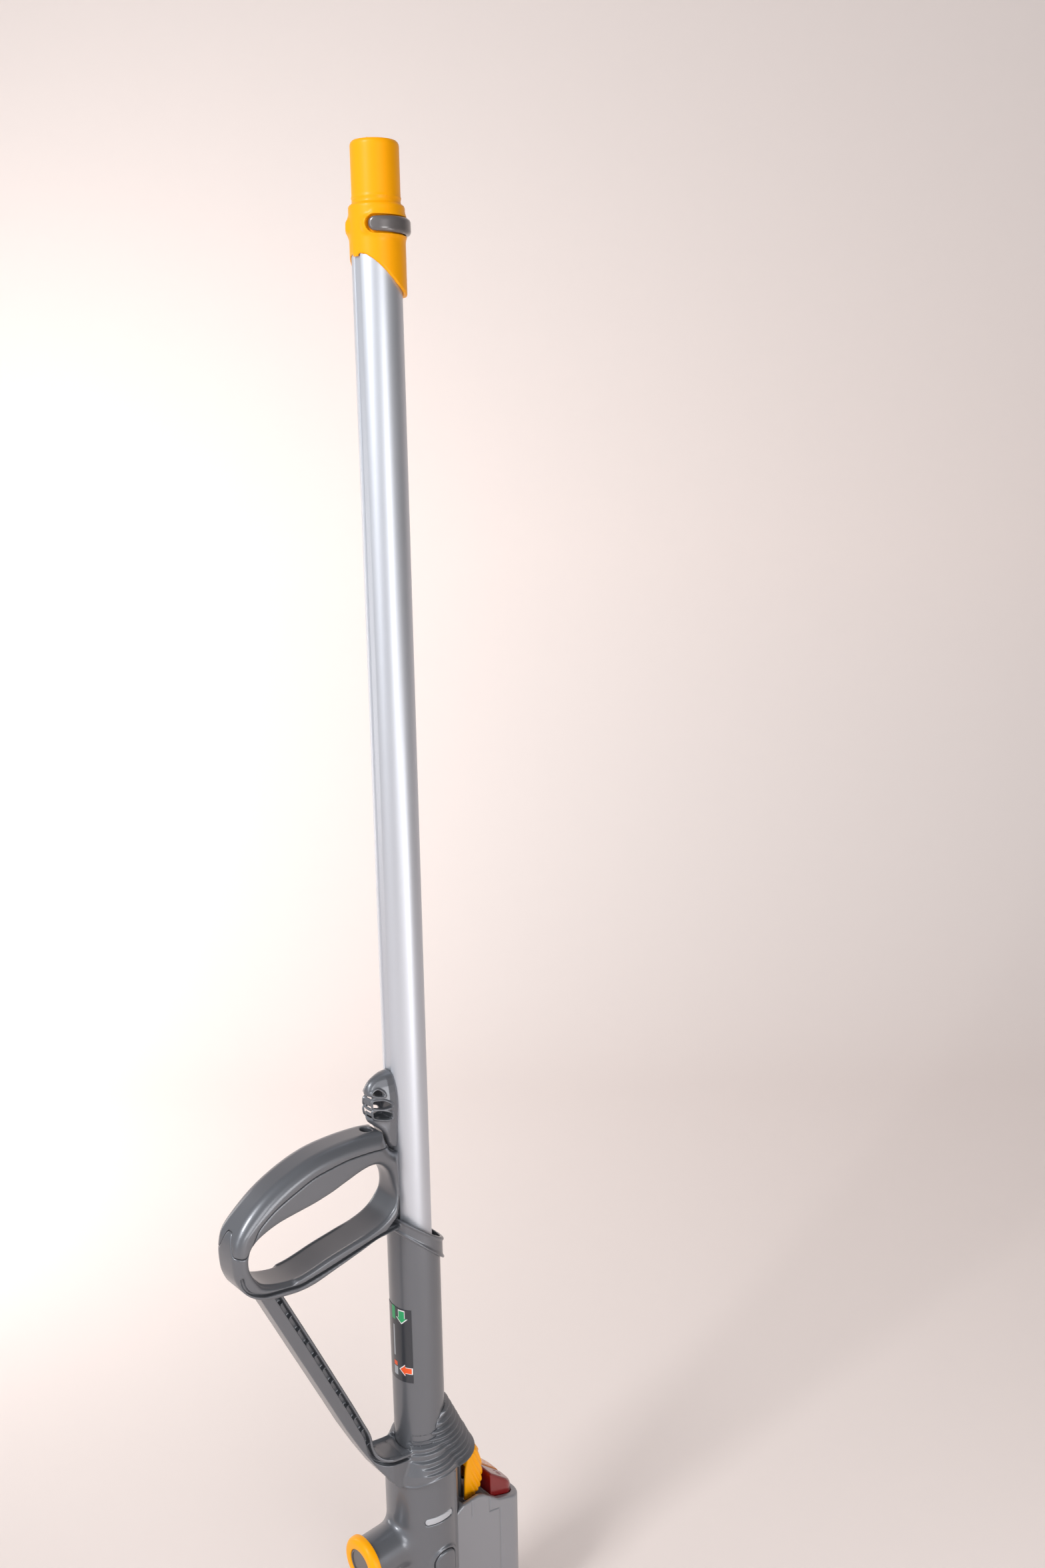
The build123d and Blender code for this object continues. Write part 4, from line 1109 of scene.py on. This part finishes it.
field_piece("power_button_skin", key_field(-1), (64, -23, 128), (98, 1, 193), cell=0.5,
            body="power_key", node="power_button", slot="red_plastic")
field_piece("brush_button_skin", key_field(1), (64, -1, 128), (98, 23, 193), cell=0.5,
            body="brush_key", node="brush_button", slot="amber_plastic")
field_piece("release_lever_skin", lever_field, (32, -19, 169), (66, 19, 227), cell=0.45,
            body="lever", node="release_lever", slot="yellow_plastic")

# ------------------------------------------------------------------ prints on the label
LABEL_R = TUBE_R + 0.35
PRINT_THICK = 0.12
PRINT_STEP = 0.8        # width of the strips that let a print bend round the tube


def label_print(name, shape, angle, height, mat, lift=0.0):
    """Thin (u, v) shape wrapped on the label; u runs round the tube, v up."""
    bm = bmesh.new()
    bm.faces.new([bm.verts.new((u, v, 0.0)) for u, v in shape])
    widths = [u for u, v in shape]
    place = min(widths) + PRINT_STEP
    while place < max(widths):
        bmesh.ops.bisect_plane(bm, geom=bm.verts[:] + bm.edges[:] + bm.faces[:],
                               plane_co=(place, 0, 0), plane_no=(1, 0, 0))
        place += PRINT_STEP
    extruded = bmesh.ops.extrude_face_region(bm, geom=bm.faces[:])
    for item in extruded["geom"]:
        if isinstance(item, bmesh.types.BMVert):
            item.co.z = PRINT_THICK
    bmesh.ops.recalc_face_normals(bm, faces=bm.faces[:])
    base = LABEL_R + 0.05 + lift
    for vert in bm.verts:
        turn = math.radians(angle) + vert.co.x / LABEL_R
        radius = base + vert.co.z - 0.1
        vert.co = ((BODY_X + radius * math.cos(turn)) * MM, radius * math.sin(turn) * MM,
                   (height + vert.co.y) * MM)
    bmesh.ops.recalc_face_normals(bm, faces=bm.faces[:])
    mesh = bpy.data.meshes.new(name)
    bm.to_mesh(mesh)
    bm.free()
    mesh.materials.append(mat)
    obj = bpy.data.objects.new(name, mesh)
    bpy.context.scene.collection.objects.link(obj)
    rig.ride(obj, "handle")
    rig.slot(obj, "label_film")


def scaled(shape, factor):
    """Shape scaled about the mean of its points."""
    centre = np.mean(np.array(shape), axis=0)
    return [tuple(centre + (np.array(point) - centre) * factor) for point in shape]


def rectangle(width, height):
    return [(-width / 2, -height / 2), (width / 2, -height / 2),
            (width / 2, height / 2), (-width / 2, height / 2)]


ARROW_DOWN = [(-3.2, 6.5), (3.2, 6.5), (3.2, -1.0), (5.6, -1.0), (0.0, -6.5), (-5.6, -1.0),
              (-3.2, -1.0)]
ARROW_SIDE = [(6.2, 3.0), (-0.6, 3.0), (-0.6, 5.4), (-6.4, 0.0), (-0.6, -5.4), (-0.6, -3.0),
              (6.2, -3.0)]
# name, width, height, angle in degrees, z, material
PATCHES = [
    ("print_patch_a", 4.4, 12.5, -183.5, 388.0, GREEN),
    ("print_patch_b", 1.8, 30.0, -183.5, 361.0, PRINT_GREY),
    ("print_patch_c", 4.2, 4.0, -181.5, 338.5, ORANGE),
    ("print_patch_d", 4.8, 8.0, -181.0, 331.5, PRINT_GREY),
]
# name, outline, angle in degrees, z, material
ARROWS = [
    ("arrow_down", ARROW_DOWN, -160.4, 386.2, GREEN),
    ("arrow_side", ARROW_SIDE, -153.8, 334.7, ORANGE),
]
for name, width, height, angle, place_z, mat in PATCHES:
    label_print(name, rectangle(width, height), angle, place_z, mat)
for name, outline, angle, place_z, mat in ARROWS:
    label_print(name + "_edge", scaled(outline, 1.04), angle, place_z, WHITE)
    label_print(name, scaled(outline, 0.86), angle, place_z, mat, lift=0.06)

# ------------------------------------------------------------------ camera
CAMERA_RIGHT = (0.73722245, -0.67553991, -0.01220215)
CAMERA_UP = (0.16714057, 0.16484389, 0.97205479)
CAMERA_VIEW = (0.65465036, 0.71866009, -0.23443674)
CAMERA_PLACE = (-0.630298, -0.841046, 1.101004)

camera_data = bpy.data.cameras.new("camera")
camera = bpy.data.objects.new("camera", camera_data)
bpy.context.scene.collection.objects.link(camera)
camera.matrix_world = Matrix([
    *((right, up, -view, place) for right, up, view, place
      in zip(CAMERA_RIGHT, CAMERA_UP, CAMERA_VIEW, CAMERA_PLACE)),
    (0, 0, 0, 1)])
camera_data.sensor_fit = "VERTICAL"
camera_data.sensor_height = 36.0
camera_data.lens = 31.37755102
camera_data.clip_start = 0.01
bpy.context.scene.camera = camera


# ------------------------------------------------------------------ lights and world
def area_light(name, place, target, width, height, power, colour=(1, 1, 1)):
    light = bpy.data.lights.new(name, "AREA")
    light.energy = power
    light.color = colour
    light.shape = "RECTANGLE"
    light.size = width
    light.size_y = height
    obj = bpy.data.objects.new(name, light)
    bpy.context.scene.collection.objects.link(obj)
    obj.location = place
    obj.rotation_euler = (Vector(target) - Vector(place)).to_track_quat("-Z", "Y").to_euler()


area_light("key", place=(-2.3, -0.35, 1.3), target=(0, 0, 0.75), width=0.7, height=1.6,
           power=8, colour=(0.96, 0.98, 1.0))
area_light("upper", place=(-1.9, -0.2, 2.35), target=(-0.05, 0, 0.45), width=0.5, height=0.5,
           power=32)
area_light("front", place=(-0.6, -2.1, 0.95), target=(0, 0, 0.4), width=0.8, height=1.0,
           power=13)
area_light("low", place=(0.2, -1.3, 0.35), target=(0.05, 0, 0.22), width=0.4, height=0.4,
           power=3.5)
area_light("wall_wash", place=(-0.49, 1.40, 0.8), target=(1.45, 1.62, 0.55), width=0.9,
           height=0.9, power=17, colour=(1.0, 0.99, 0.98))


def build_world():
    """Sky that brightens towards -x and slightly upwards."""
    world = bpy.data.worlds.new("world")
    bpy.context.scene.world = world
    world.use_nodes = True
    nodes, links = world.node_tree.nodes, world.node_tree.links
    background = nodes["Background"]
    background.inputs["Strength"].default_value = 1.0
    coords = nodes.new("ShaderNodeTexCoord")
    facing = nodes.new("ShaderNodeVectorMath")
    facing.operation = "DOT_PRODUCT"
    facing.inputs[1].default_value = (-0.93, -0.05, 0.16)   # bright direction
    links.new(coords.outputs["Generated"], facing.inputs[0])
    ramp = nodes.new("ShaderNodeValToRGB")
    dark, bright = ramp.color_ramp.elements
    dark.position = 0.35
    dark.color = (0.10, 0.097, 0.094, 1.0)
    bright.position = 0.95
    bright.color = (0.60, 0.62, 0.65, 1.0)
    to_unit = nodes.new("ShaderNodeMath")                   # -1..1 to 0..1
    to_unit.operation = "MULTIPLY_ADD"
    to_unit.inputs[1].default_value = 0.5
    to_unit.inputs[2].default_value = 0.5
    links.new(facing.outputs["Value"], to_unit.inputs[0])
    links.new(to_unit.outputs["Value"], ramp.inputs["Fac"])
    links.new(ramp.outputs["Color"], background.inputs["Color"])


build_world()

# ------------------------------------------------------------------ stage, in metres
STAGE_START, STAGE_BEND = -4.0, 1.2     # floor's extent along the view direction
STAGE_RADIUS = 0.9                      # sweep from floor to wall
STAGE_HALF = 4.5
STAGE_TOP = 4.5
STAGE_DROP = 0.0006                     # gap below z = 0


def build_stage():
    """Floor that sweeps up into a backdrop behind the object."""
    stage_material = material("stage_pale", "efe4df", rough=0.9, specular=0.1)
    away = np.array(CAMERA_VIEW[:2]) / math.hypot(*CAMERA_VIEW[:2])
    across = np.array([-away[1], away[0]])
    profile = [(run, 0.0) for run in np.linspace(STAGE_START, STAGE_BEND, 12)]
    for turn in np.linspace(0, math.pi / 2, 24)[1:]:
        profile.append((STAGE_BEND + STAGE_RADIUS * math.sin(turn),
                        STAGE_RADIUS - STAGE_RADIUS * math.cos(turn)))
    profile.append((STAGE_BEND + STAGE_RADIUS, STAGE_TOP))
    verts = []
    for run, height in profile:
        for offset in (-STAGE_HALF, STAGE_HALF):
            point = away * run + across * offset
            verts.append((point[0], point[1], height - STAGE_DROP))
    faces = [(2 * i, 2 * i + 2, 2 * i + 3, 2 * i + 1) for i in range(len(profile) - 1)]
    mesh = bpy.data.meshes.new("stage")
    mesh.from_pydata(verts, [], faces)
    mesh.materials.append(stage_material)
    for face in mesh.polygons:
        face.use_smooth = True
    obj = bpy.data.objects.new("stage", mesh)
    bpy.context.scene.collection.objects.link(obj)
    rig.stage(obj)


build_stage()

view = bpy.context.scene.view_settings
view.view_transform = "Standard"
view.look = "None"
view.exposure = 0.0

note_size("visual")
